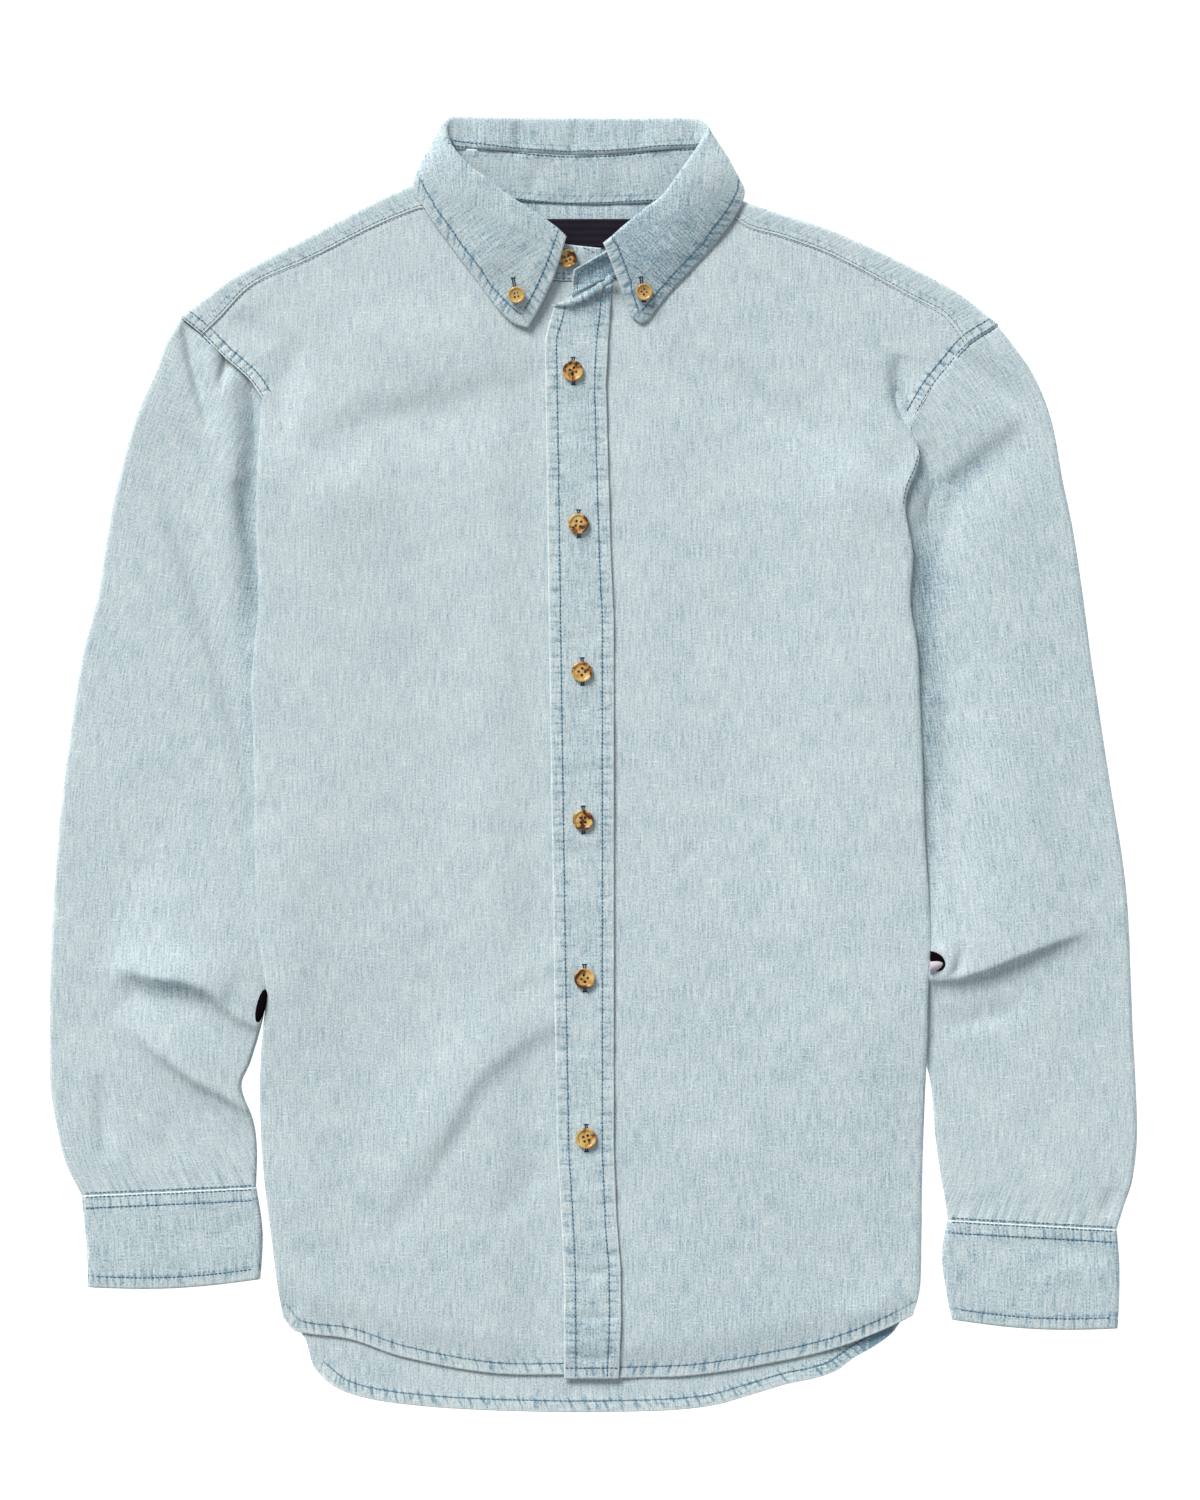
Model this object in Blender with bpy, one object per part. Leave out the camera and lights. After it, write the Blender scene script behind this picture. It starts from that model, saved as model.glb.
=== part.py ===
"""A long-sleeved chambray shirt, laid flat on its back with its front up.

Every piece of cloth is its own closed wall, cut to its outline and laid at its own height.
Frame: +X the wearer's left, +Y towards the collar, +Z up out of the front. The origin is
the middle of the shirt's outline, on the surface that it lies on. All values are in
millimetres and become metres when a mesh is made.
"""
import math
from collections import namedtuple
from functools import partial

import bmesh
import bpy
from mathutils import Vector

MM = 0.001

# Driving dimensions
CLOTH = 1.4            # wall of a plain panel
CUFF_CLOTH = 1.8       # wall of a cuff, which is interlined
FALL_CLOTH = 1.6       # wall of the collar fall, upper and under collar together
LABEL_CLOTH = 1.0
SEAM = 0.6             # air between two pieces that are sewn edge to edge
AIR = 0.35             # air between two pieces that lie on each other
FRONT_AIR = 0.65       # the same between the fronts and what is under them
PLACKET_AIR = 0.5      # the same between the placket and its front
TIP_AIR = 0.2          # more air under a button on the curved fall
STAND_TRIM = 1.0       # how far both long edges of the stand stop short of their seams
FRONT_HEIGHT = 4.9     # middle of a front's wall over what the shirt lies on
HEM_FADE = 26.0        # length over which the fronts come down to the back at the hem
EDGE_CURL = 4.6        # strip of each front that turns down at the side
SIDE_LIFT = 7.0        # height of the sleeve that lies under a side of the body
BACK_YOKE_Y = 250.0    # straight seam between the back and the yoke
FOLD_RADIUS = 1.6      # fold of the collar at the front
BACK_FOLD_RADIUS = 1.9 # fold of the collar behind the neck
UNDERLAP_X = 8.0       # hidden edge of the right front, under the placket
NECK_CURL = 1.2        # how far the left front's corner at the neck lifts
PLACKET_SLANT = 3.2    # how much higher the placket's sewn edge ends than its free edge

BUTTON_THICK = 2.4
FRONT_BUTTON = 12.7    # diameters: 20, 18 and 16 ligne
BAND_BUTTON = 11.5
TIP_BUTTON = 10.2

CHAMBRAY = (0.54, 0.64, 0.69)
CUFF_CHAMBRAY = (0.50, 0.61, 0.67)
LABEL_NAVY = (0.011, 0.006, 0.022)
HORN = (0.46, 0.22, 0.07)

Side = namedtuple("Side", "y right left")
Point = namedtuple("Point", "x y")
Band = namedtuple("Band", "y free seam")
Cut = namedtuple("Cut", "outer_x outer_y inner_x inner_y outer_high inner_high")
Fold = namedtuple("Fold", "x0 y0 x1 y1 wide high")
Shoulder = namedtuple("Shoulder", "front_x front_y ridge_x ridge_y back_x")
Roll = namedtuple("Roll", "seam_x seam_y seam_z fold_x fold_y fold_z edge_x edge_y edge_z turn")
Stand = namedtuple("Stand", "base_x base_y base_z top_x top_y top_z")
Button = namedtuple("Button", "name x y")

# Folded sides of the body, from the hem to the underarms.
BODY_SIDES = [
    Side(-343, -192, 198), Side(-325, -195, 202), Side(-292, -199, 203),
    Side(-250, -204, 203.5), Side(-204, -206, 205), Side(-170, -204.5, 206.5),
    Side(-140, -202, 207), Side(-115, -205.5, 209), Side(-88, -208, 208),
    Side(-45, -209, 205), Side(4, -209.5, 203.5), Side(50, -211, 201.5),
    Side(75, -209, 200), Side(100, -206.5, 196), Side(130, -207.5, 197.5),
    Side(162, -208, 193), Side(190, -207, 202),
]

# Armhole seams, from the underarm to the shoulder's tip.
RIGHT_ARMHOLE = [Point(-205, 227), Point(-213, 238.5), Point(-228, 252), Point(-242, 266),
                 Point(-255.4, 277)]
LEFT_ARMHOLE = [Point(197.5, 211), Point(210, 233), Point(219.5, 245), Point(232, 259.5),
                Point(251.1, 272)]

# Neckline of each front, from the yoke to the centre.
RIGHT_NECKLINE = [Point(-100, 345), Point(-86, 331), Point(-68, 319), Point(-51, 309),
                  Point(-34, 302), Point(-18, 299), Point(UNDERLAP_X, 299)]
LEFT_NECKLINE = [Point(84, 342), Point(70, 330), Point(60, 319), Point(46, 311),
                 Point(33, 303), Point(20, 301), Point(12.4, 301.5), Point(-13.6, 290)]

# Hems, from the side to the centre front, and right across the longer back.
RIGHT_HEM = [Point(-192, -343), Point(-184, -351), Point(-151, -356), Point(-118, -367),
             Point(-64, -377), Point(-18, -378), Point(UNDERLAP_X, -377)]
LEFT_HEM = [Point(198, -341), Point(182, -349), Point(152, -361), Point(120, -369),
            Point(67, -378), Point(29, -380), Point(-16, -380)]
BACK_HEM = [Point(-190, -343), Point(-179, -355), Point(-172, -375), Point(-153, -389),
            Point(-112, -397), Point(-46, -400.8), Point(29, -400.7), Point(71, -398),
            Point(118, -385), Point(162, -368), Point(185, -353), Point(196, -341)]

# Free edge and sewn edge of the placket, from the hem to the neck.
PLACKET = [
    Band(-380, -18, 16), Band(-326, -18, 18), Band(-301, -18.5, 15.5), Band(-239, -22.3, 13),
    Band(-133, -24.2, 13), Band(90, -27.5, 13), Band(127, -28, 11.2), Band(235, -29.5, 8.1),
    Band(263, -30, 9.5), Band(284, -24, 12),
]

# The yoke across the shoulders: its front seam, the shoulder's ridge and its back seam.
RIGHT_SHOULDER = [
    Shoulder(-242, 266, -255.4, 277, -226.5), Shoulder(-231, 277, -243, 286.5, -214),
    Shoulder(-211, 297, -221, 302.5, -197), Shoulder(-176, 313, -183, 323, -171),
    Shoulder(-136, 333, -142, 344.5, -138), Shoulder(-109, 344, -112, 358.5, -109),
    Shoulder(-100, 345, -104, 357.5, -98),
]
LEFT_SHOULDER = [
    Shoulder(232, 259.5, 251.1, 272, 223.5), Shoulder(218, 278, 227, 291, 208),
    Shoulder(198, 289, 205, 303.5, 193), Shoulder(149, 315, 152, 329, 150),
    Shoulder(117, 327, 119, 340, 118), Shoulder(96, 333, 99, 346.5, 98),
    Shoulder(84, 342, 87, 350.5, 84),
]
# Neck seam of the yoke behind the neck, between the two shoulders.
BACK_NECK = [Point(-92, 355.5), Point(-50, 351), Point(-8, 348.4), Point(38, 349.6),
             Point(76, 353.5)]

# Sleeves: where each cut across the flat tube starts and ends, and its height there.
RIGHT_SLEEVE = [
    Cut(-255.4, 277, -205, 227, 5.4, 3.4), Cut(-264, 263, -205.4, 216, 5.6, 3.4),
    Cut(-272, 242, -201, 202, 5.8, 3.8), Cut(-284, 213, -197, 182, 6, 4.4),
    Cut(-296, 168, -196, 150, 6, 5), Cut(-301, 141, -196, 124, 6, 5.2),
    Cut(-307.5, 102, -196, 88, 6, 5.4), Cut(-316, 69, -198, 58, 6, 5.4),
    Cut(-323, 25, -199, 18, 6, 5.4), Cut(-329.5, -25, -198, -28, 6, 5.4),
    Cut(-333, -65, -197, -65, 6, 5.4), Cut(-335.2, -98, -197, -96, 6, 5.4),
    Cut(-336, -121, -198, -117, 6, 5.2), Cut(-336.8, -145, -204.6, -142, 6, 5),
    Cut(-337, -166, -208.2, -158, 6, 5), Cut(-336.8, -185, -212, -184, 6, 5),
    Cut(-336, -202, -217.5, -199, 6, 5), Cut(-332, -226, -210.5, -220, 5.8, 5),
    Cut(-327, -246, -208.2, -238, 5.6, 5), Cut(-317, -266.6, -208.7, -261.6, 5.4, 5),
]
LEFT_SLEEVE = [
    Cut(251.1, 272, 197.5, 211, 5.4, 3.4), Cut(262, 258, 198.8, 200, 5.6, 3.5),
    Cut(274, 240, 190, 183, 5.8, 4.2), Cut(284, 213, 184, 166, 6, 4.8),
    Cut(291, 176, 182, 142, 6, 5.2), Cut(297, 147, 184, 118, 6, 5.4),
    Cut(303, 108, 186, 88, 6, 5.4), Cut(308, 70, 189, 56, 6, 5.4),
    Cut(315, 23, 192, 15, 6, 5.4), Cut(320.5, -13, 194, -18, 6, 5.4),
    Cut(327, -52, 196, -55, 6, 5.4), Cut(330.5, -80, 198, -84, 6, 5.4),
    Cut(332.3, -109, 199, -112, 6, 5.4), Cut(333.2, -135, 199, -138, 6, 5.4),
    Cut(334.4, -165, 201, -166, 6, 5.2), Cut(336, -195, 208.8, -196, 6, 5),
    Cut(337, -230, 212, -232, 6, 5), Cut(334, -258, 215.5, -256, 5.8, 5),
    Cut(329, -273, 218, -270, 5.6, 5), Cut(324.4, -287.6, 219.4, -281.6, 5.4, 5),
]
RIGHT_CUFF = [
    Cut(-317, -267.2, -208.5, -262.2, 6.2, 6.2), Cut(-314.5, -292, -205, -284, 6.2, 6.2),
    Cut(-313.5, -306, -204.6, -298, 6.2, 6.2), Cut(-313, -323.5, -206, -318.5, 6, 6),
]
LEFT_CUFF = [
    Cut(324.4, -288.2, 219.2, -282.2, 6.2, 6.2), Cut(326, -309, 215.8, -303, 6.2, 6.2),
    Cut(326, -328, 218.5, -326, 6.2, 6.2), Cut(325, -349, 222, -343.5, 6, 6),
]
CUFF_BOW = 3.0         # how far each cuff's open edge bows out in the middle
TUBE_CROWN = 0.7       # how far the middle of a flat tube's upper layer stands up
TUBE_HOLLOW = 0.1      # how far the middle of its lower layer stands off the surface

# Elbow folds, which lift both layers of a sleeve, and the soft folds of the fronts.
SLEEVE_FOLDS = [
    Fold(-290, -119, -244, -127, 11, 3.6), Fold(-244, -127, -216, -143, 9, 2.6),
    Fold(-277, -163, -230, -198, 12, 2.4),
    Fold(214, -129, 252, -117, 10, 3.2), Fold(252, -117, 292, -100, 11, 3.6),
]
FRONT_FOLDS = [
    Fold(-120, -185, -44, -150, 16, 1.1), Fold(-104, -290, -44, -205, 18, -0.9),
    Fold(-175, -60, -110, -150, 26, 0.9), Fold(-190, 225, -170, 268, 9, -1.0),
    Fold(186, 245, 160, 190, 12, -0.9), Fold(70, -120, 130, -250, 28, 0.8),
    Fold(60, 150, 130, 60, 30, 0.7),
]

# Collar fall, along the neck from the wearer's right tip to the left: its seam with the
# stand, its fold, its outer edge, and how far the fold has turned from facing up, round
# the side of the neck, to facing down.
COLLAR = [
    Roll(-19, 322.3, 8.5, -17.5, 326, 9.7, -40, 270, 7.0, 0),
    Roll(-26.4, 326.5, 10.0, -24, 332, 11.2, -50, 273.5, 7.0, 0),
    Roll(-41.2, 334.6, 11.6, -38, 342, 12.8, -62, 286, 7.0, 0),
    Roll(-57.4, 342.5, 12.6, -53, 351.5, 13.8, -76, 305, 7.0, 0),
    Roll(-72.8, 351.6, 12.9, -66, 361.5, 14.1, -91, 325, 7.0, 0),
    Roll(-85.5, 361.5, 12.4, -79, 372, 13.8, -104, 344, 7.2, 12),
    Roll(-91, 371, 10.6, -88, 383, 12.2, -110, 356, 6.6, 40),
    Roll(-91, 379, 8, -92, 394, 8.6, -110, 362.5, 4, 90),
    Roll(-88, 382, 6, -89.5, 399, 4.8, -103, 366, 1.3, 140),
    Roll(-80, 381.8, 4.7, -81, 400.3, 2.8, -87, 369, 0.9, 180),
    Roll(-50, 381.2, 4.7, -50, 400.3, 2.8, -54, 369, 0.9, 180),
    Roll(-8, 379, 4.7, -8, 400.3, 2.8, -8, 369, 0.9, 180),
    Roll(34, 381.4, 4.7, 34, 400.3, 2.8, 36, 369, 0.9, 180),
    Roll(58, 383, 4.7, 58, 400.3, 2.8, 64, 368, 0.9, 180),
    Roll(68, 383, 6, 68.5, 399.5, 4.8, 85, 365, 1.3, 140),
    Roll(73.5, 379, 8, 74, 393, 8.6, 92, 359, 4, 90),
    Roll(72.5, 370, 10.6, 67, 382.5, 12.2, 92.5, 350, 6.6, 40),
    Roll(66.2, 361.4, 12.4, 58, 371.5, 13.8, 87, 338, 7.2, 12),
    Roll(56.2, 350.2, 12.9, 50, 360.5, 14.1, 74, 321, 7.0, 0),
    Roll(48.1, 341.3, 12.9, 43, 351, 14.1, 64, 310, 7.0, 0),
    Roll(36, 335, 12.9, 33, 343.5, 14.1, 50, 295, 7.0, 0),
    Roll(22.6, 326.5, 12.9, 20, 333, 14.1, 40, 283, 7.0, 0),
    Roll(13.2, 321.2, 12.9, 11.5, 325.5, 14.1, 31, 273, 7.0, 0),
    Roll(8, 317.8, 12.9, 6.5, 321.5, 14.1, 24, 277, 7.0, 0),
]
FALL_BULGE = 1.6       # how far the fall stands off a straight line to its edge

# Collar stand, from the wearer's right end to the lifted buttonhole end: its neck seam
# and its top.
STAND = [
    Stand(8, 299.5, 2.65, 5, 320, 5.0), Stand(-18, 299.5, 2.65, -17, 322.5, 6.5),
    Stand(-34, 302.5, 3.6, -26.2, 326, 8.0), Stand(-51, 309.5, 4.6, -41, 334, 10.4),
    Stand(-68, 319.5, 4.9, -57.3, 342, 12.2), Stand(-86, 331.5, 4.9, -72.5, 351.1, 12.9),
    Stand(-99.6, 345.6, 4.9, -85.1, 361.1, 12.4), Stand(-102, 354, 4.4, -90.8, 370.5, 10.6),
    Stand(-99, 357.5, 2.4, -90.6, 378.6, 8), Stand(-95, 357.6, 1.2, -87.8, 381.5, 6),
    Stand(-86, 355.6, 0.7, -80, 381.3, 4.7), Stand(-50, 351.6, 0.7, -50, 380.7, 4.7),
    Stand(-8, 349, 0.7, -8, 378.5, 4.7), Stand(38, 350.2, 0.7, 34, 380.9, 4.7),
    Stand(68, 353.4, 0.7, 58, 382.5, 4.7), Stand(79, 355, 1.2, 67.8, 382.5, 6),
    Stand(84, 354.2, 2.4, 73.6, 378, 8), Stand(85.5, 350, 4.4, 73, 368.8, 10.4),
    Stand(83.6, 342.6, 4.9, 65.9, 361, 12.4), Stand(70, 330.5, 4.9, 56, 349.7, 12.9),
    Stand(60, 319.5, 4.9, 47.8, 340.8, 12.9), Stand(46, 311.5, 4.9, 35.8, 334.5, 12.9),
    Stand(33, 303.5, 4.9, 22.4, 326, 12.9), Stand(20, 301.6, 5.4, 13, 320.7, 12.9),
    Stand(12.4, 302.1, 6.2, 7.8, 317.3, 12.9), Stand(-13.4, 290.7, 6.4, -12, 306, 10.5),
]

LABEL_LOW = Point(-36, 320.5)
LABEL_HIGH = Point(28, 338)

FRONT_BUTTONS = [
    Button("button_1", -12.4, 243.4), Button("button_2", -9, 148.9),
    Button("button_3", -6.8, 57.4), Button("button_4", -6.2, -34.3),
    Button("button_5", -5.3, -132.3), Button("button_6", -4.3, -231.2),
]
BAND_BUTTON_AT = Button("button_band", -15.8, 313.6)
TIP_BUTTONS = [Button("button_tip_right", -47.1, 290.5), Button("button_tip_left", 31, 292.4)]

CHEST = Vector((0, 150))
BODY_ROWS = 16         # rows of each panel from the hem to the underarm
ARMHOLE_ROWS = 4
YOKE_COLUMNS = 6       # columns of a front under the yoke seam
PLACKET_ROWS = 20
CURL_STEPS = 3
NOSE_STEPS = 4         # steps round each folded edge of a flat tube
FLAT_STEPS = 6         # and across each of its layers
FIRST_FALL_ROW = 6     # first row of a collar column that is past the fold


# Curves and small sums

def ease(low, high, value):
    """0 below low, 1 above high (or the other way round), smooth between them."""
    part = min(1.0, max(0.0, (value - low) / (high - low)))
    return part * part * (3 - 2 * part)


def mix(a, b, part):
    return a + (b - a) * part


def even(steps):
    """Evenly spaced shares of a length, from 0 to 1."""
    return [k / steps for k in range(steps + 1)]


def along(points, shares):
    """Points at the given shares of the length of a smooth curve through the given ones."""
    knots = [Vector(point) for point in points]
    fine = [knots[0]]
    for i in range(len(knots) - 1):
        here, there = knots[i], knots[i + 1]
        before = knots[max(i - 1, 0)]
        after = knots[min(i + 2, len(knots) - 1)]
        length = (there - here).length
        leave = (there - before) * (length / max((there - before).length, length))
        arrive = (after - here) * (length / max((after - here).length, length))
        for k in range(1, 13):
            t = k / 12
            fine.append(here * (2 * t**3 - 3 * t**2 + 1) + leave * (t**3 - 2 * t**2 + t)
                        + there * (3 * t**2 - 2 * t**3) + arrive * (t**3 - t**2))
    reach = [0.0]
    for a, b in zip(fine, fine[1:]):
        reach.append(reach[-1] + (b - a).length)
    result, at = [], 0
    for share in shares:
        goal = reach[-1] * share
        while at < len(fine) - 2 and reach[at + 1] < goal:
            at += 1
        part = (goal - reach[at]) / max(reach[at + 1] - reach[at], 1e-9)
        result.append(fine[at].lerp(fine[at + 1], min(part, 1.0)))
    return result


def read(table, y, column):
    """The value of one column of a table whose rows run along y."""
    rows = sorted(table, key=lambda row: row.y)
    y = min(max(y, rows[0].y), rows[-1].y)
    for a, b in zip(rows, rows[1:]):
        if y <= b.y:
            return mix(getattr(a, column), getattr(b, column), (y - a.y) / (b.y - a.y))
    return getattr(rows[-1], column)


def shifted(points, offset):
    """The curve moved sideways in plan by offset, towards the middle of the chest."""
    moved = []
    for i, point in enumerate(points):
        run = points[min(i + 1, len(points) - 1)] - points[max(i - 1, 0)]
        side = Vector((-run.y, run.x)).normalized()
        if side.dot(CHEST - point.xy) < 0:
            side = -side
        moved.append(point.xy + side * offset)
    return moved


def coons(side, centre, bottom, top, shares=None):
    """Points of a panel whose four edges are given: columns from the side to the centre."""
    rows, columns = len(side) - 1, len(bottom) - 1
    grid = []
    for j, s in enumerate(shares or even(columns)):
        column = []
        for i in range(rows + 1):
            t = i / rows
            corners = ((1 - s) * (1 - t) * bottom[0] + s * (1 - t) * bottom[-1]
                       + (1 - s) * t * top[0] + s * t * top[-1])
            column.append((1 - s) * side[i] + s * centre[i] + (1 - t) * bottom[j]
                          + t * top[j] - corners)
        grid.append(column)
    return grid


def ridge(folds, x, y):
    """Height that the folds of a table add at a place."""
    total = 0.0
    for fold in folds:
        start = Vector((fold.x0, fold.y0))
        run = Vector((fold.x1, fold.y1)) - start
        gone = min(1.0, max(0.0, (Vector((x, y)) - start).dot(run) / run.length_squared))
        away = (Vector((x, y)) - start - run * gone).length / fold.wide
        total += fold.high * math.exp(-2 * away * away)
    return total


# Heights of the layers

def side_lift(x, y):
    """Height that the sleeves give the sides of the body where they lie under it."""
    right = (1 - ease(13, 40, x - read(BODY_SIDES, y, "right")))
    right *= ease(242, 209, y) * ease(-190, -130, y)
    left = (1 - ease(17, 44, read(BODY_SIDES, y, "left") - x))
    left *= ease(222, 192, y) * ease(-232, -168, y)
    return SIDE_LIFT * max(right, left)


def hem_fade(x, y, hem):
    """0 at the hem and 1 where a front is at its full height."""
    nearest = min((Vector((x, y)) - point.xy).length for point in along(hem, even(24)))
    return ease(0, HEM_FADE, nearest)


def right_front_height(x, y):
    lowest = CLOTH + AIR + CLOTH / 2
    under_placket = CLOTH + FRONT_AIR + CLOTH / 2
    fade = hem_fade(x, y, RIGHT_HEM)
    full = mix(under_placket, FRONT_HEIGHT, ease(-32, -66, x))
    return side_lift(x, y) + mix(lowest, full, fade) + ridge(FRONT_FOLDS, x, y) * fade


def left_front_height(x, y):
    lowest = CLOTH + AIR + CLOTH / 2
    over_right = 2 * CLOTH + FRONT_AIR + AIR + CLOTH / 2
    fade = hem_fade(x, y, LEFT_HEM)
    full = mix(over_right, FRONT_HEIGHT, ease(12, 50, x))
    low = mix(over_right, lowest, ease(12, 40, x))
    neck_curl = NECK_CURL * ease(276, 292, y) * ease(22, -4, x)
    return side_lift(x, y) + mix(low, full, fade) + ridge(FRONT_FOLDS, x, y) * fade + neck_curl


# Meshes

def finish(name, bm, colour, roughness=0.85):
    """Closes a mesh into an object of its own, in metres, with its own material."""
    bmesh.ops.recalc_face_normals(bm, faces=bm.faces)
    if bm.calc_volume(signed=True) < 0:
        bmesh.ops.reverse_faces(bm, faces=bm.faces)
    for vert in bm.verts:
        vert.co *= MM
    mesh = bpy.data.meshes.new(name)
    bm.to_mesh(mesh)
    bm.free()
    material = bpy.data.materials.new(name)
    material.use_nodes = True
    shader = material.node_tree.nodes["Principled BSDF"]
    shader.inputs["Base Color"].default_value = (*colour, 1.0)
    shader.inputs["Roughness"].default_value = roughness
    shader.inputs["Metallic"].default_value = 0.0
    mesh.materials.append(material)
    item = bpy.data.objects.new(name, mesh)
    bpy.context.scene.collection.objects.link(item)
    return item


def fill(bm, a, b, c, d):
    """A square of cloth as two triangles, cut from a to c on both sides of the wall."""
    bm.faces.new((a, b, c))
    bm.faces.new((a, c, d))


def sheet(name, grid, thick, colour, cells=None):
    """A wall round the middle surface given as columns of points. cells says which of the
    grid's squares are cloth; the others are left open."""
    columns, rows = len(grid) - 1, len(grid[0]) - 1
    cells = cells or {(j, i) for j in range(columns) for i in range(rows)}
    normals = {}
    for j, i in cells:
        a, b = grid[j][i], grid[j + 1][i]
        c, d = grid[j + 1][i + 1], grid[j][i + 1]
        normal = (c - a).cross(d - b).normalized()
        for corner in ((j, i), (j + 1, i), (j + 1, i + 1), (j, i + 1)):
            normals[corner] = normals.get(corner, Vector((0, 0, 0))) + normal
    bm = bmesh.new()
    upper, lower = {}, {}
    for (j, i), normal in sorted(normals.items()):
        step = normal.normalized() * (thick / 2)
        upper[j, i] = bm.verts.new(grid[j][i] + step)
        lower[j, i] = bm.verts.new(grid[j][i] - step)
    for j, i in sorted(cells):
        corners = ((j, i), (j + 1, i), (j + 1, i + 1), (j, i + 1))
        fill(bm, *(upper[corner] for corner in corners))
        a, b, c, d = (lower[corner] for corner in corners)
        fill(bm, c, b, a, d)
        beyond = ((j, i - 1), (j + 1, i), (j, i + 1), (j - 1, i))
        for k in range(4):
            if beyond[k] not in cells:
                start, end = corners[k], corners[(k + 1) % 4]
                bm.faces.new((upper[end], upper[start], lower[start], lower[end]))
    return finish(name, bm, colour)


def tube(name, rings, thick, colour):
    """A wall between the outer rings given and the same rings moved in by its thickness."""
    bm = bmesh.new()
    walls = []
    for ring in rings:
        outer = [point for point, inward in ring]
        inner = [point + inward * thick for point, inward in ring]
        walls.append(([bm.verts.new(p) for p in outer], [bm.verts.new(p) for p in inner]))
    count = len(rings[0])
    for (outer_a, inner_a), (outer_b, inner_b) in zip(walls, walls[1:]):
        for k in range(count):
            n = (k + 1) % count
            fill(bm, outer_a[k], outer_a[n], outer_b[n], outer_b[k])
            fill(bm, inner_b[n], inner_a[n], inner_a[k], inner_b[k])
    for outer, inner in (walls[0], walls[-1]):
        for k in range(count):
            n = (k + 1) % count
            bm.faces.new((outer[k], outer[n], inner[n], inner[k]))
    return finish(name, bm, colour)


# Body

def front_panel(name, sides, armhole, hem, neckline, yoke_edge, centre, height, colour):
    """One front: flat from the centre to its side, where its edge turns down to the back."""
    side = along(sides, even(BODY_ROWS))[:-1] + along(armhole, even(ARMHOLE_ROWS))
    curls = []
    for i, point in enumerate(side):
        beyond_hem = hem_fade(point.x, point.y, hem) ** 3
        below_armhole = ease(BODY_ROWS + 1, BODY_ROWS - 1, i)
        curls.append(beyond_hem * below_armhole)
    reach = [EDGE_CURL * (math.sin(c * math.pi / 2) / (c * math.pi / 2) if c > 0.01 else 1)
             for c in curls]
    inset = [shifted(side, reach[i])[i] for i in range(len(side))]
    bottom = along(hem, even(len(yoke_edge) + len(neckline) - 2))
    bottom[0] = inset[0]
    top = shifted(yoke_edge, SEAM / 2) + [Vector(p) for p in neckline[1:]]
    top[0] = inset[-1]
    grid = coons(inset, centre, bottom, top)
    columns = [[Vector((p.x, p.y, height(p.x, p.y))) for p in column] for column in grid]
    strip = []
    for k in range(CURL_STEPS, 0, -1):
        edge = []
        for i, point in enumerate(columns[0]):
            out = (side[i] - inset[i]).normalized()
            angle = max(curls[i] * math.pi / 2 * k / CURL_STEPS, 1e-4)
            arc = EDGE_CURL * k / CURL_STEPS
            flat, drop = arc * math.sin(angle) / angle, arc * (1 - math.cos(angle)) / angle
            edge.append(point + Vector((out.x * flat, out.y * flat, -drop)))
        strip.append(edge)
    return sheet(name, strip + columns, CLOTH, colour)


def yoke_seam(shoulder):
    """Points of the front yoke seam that both the yoke and the front are cut to."""
    return along([(s.front_x, s.front_y) for s in shoulder], even(YOKE_COLUMNS))


def centre_edge(edge_x, low, mid, high):
    """The centre edge of a front, in rows that match its side."""
    ys = [mix(low, mid, i / BODY_ROWS) for i in range(BODY_ROWS)]
    ys += [mix(mid, high, i / ARMHOLE_ROWS) for i in range(ARMHOLE_ROWS + 1)]
    return [Vector((edge_x(y), y)) for y in ys]


def build_fronts():
    right_sides = [(row.right, row.y) for row in BODY_SIDES] + [RIGHT_ARMHOLE[0]]
    left_sides = [(row.left, row.y) for row in BODY_SIDES] + [LEFT_ARMHOLE[0]]
    right_centre = centre_edge(lambda y: UNDERLAP_X, -377, 231, 299)
    left_centre = centre_edge(lambda y: read(PLACKET, y, "free") + 1.5, -380, 222, 284.5)
    neck_corner = Point(left_centre[-1].x, left_centre[-1].y)
    front_panel("front_right", right_sides, RIGHT_ARMHOLE[:4], RIGHT_HEM, RIGHT_NECKLINE,
                yoke_seam(RIGHT_SHOULDER), right_centre, right_front_height, CHAMBRAY)
    front_panel("front_left", left_sides, LEFT_ARMHOLE[:4], LEFT_HEM,
                LEFT_NECKLINE + [neck_corner], yoke_seam(LEFT_SHOULDER), left_centre,
                left_front_height, CHAMBRAY)


def build_placket():
    """A band sewn on the left front, lying on it all the way down."""
    rows = [mix(-380.5, 284, share) for share in even(PLACKET_ROWS)]
    columns = []
    for part in (0, 0.5, 1):
        column = []
        for y in rows:
            x = mix(read(PLACKET, y, "free"), read(PLACKET, y, "seam"), part)
            higher = PLACKET_SLANT * part * ease(262, 284, y)
            z = left_front_height(x, y + higher) + CLOTH + PLACKET_AIR
            column.append(Vector((x, y + higher, z)))
        columns.append(column)
    sheet("placket", columns, CLOTH, CHAMBRAY)


def armhole_from(armhole, low_y, shares):
    """Points of an armhole from the height low_y up to the shoulder's tip."""
    fine = along(armhole, even(60))
    return along([point for point in fine if point.y >= low_y], shares)


def armhole_to(armhole, high_y, shares):
    """Points of an armhole from the underarm up to the height high_y."""
    fine = along(armhole, even(60))
    return along([point for point in fine if point.y <= high_y], shares)


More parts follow.
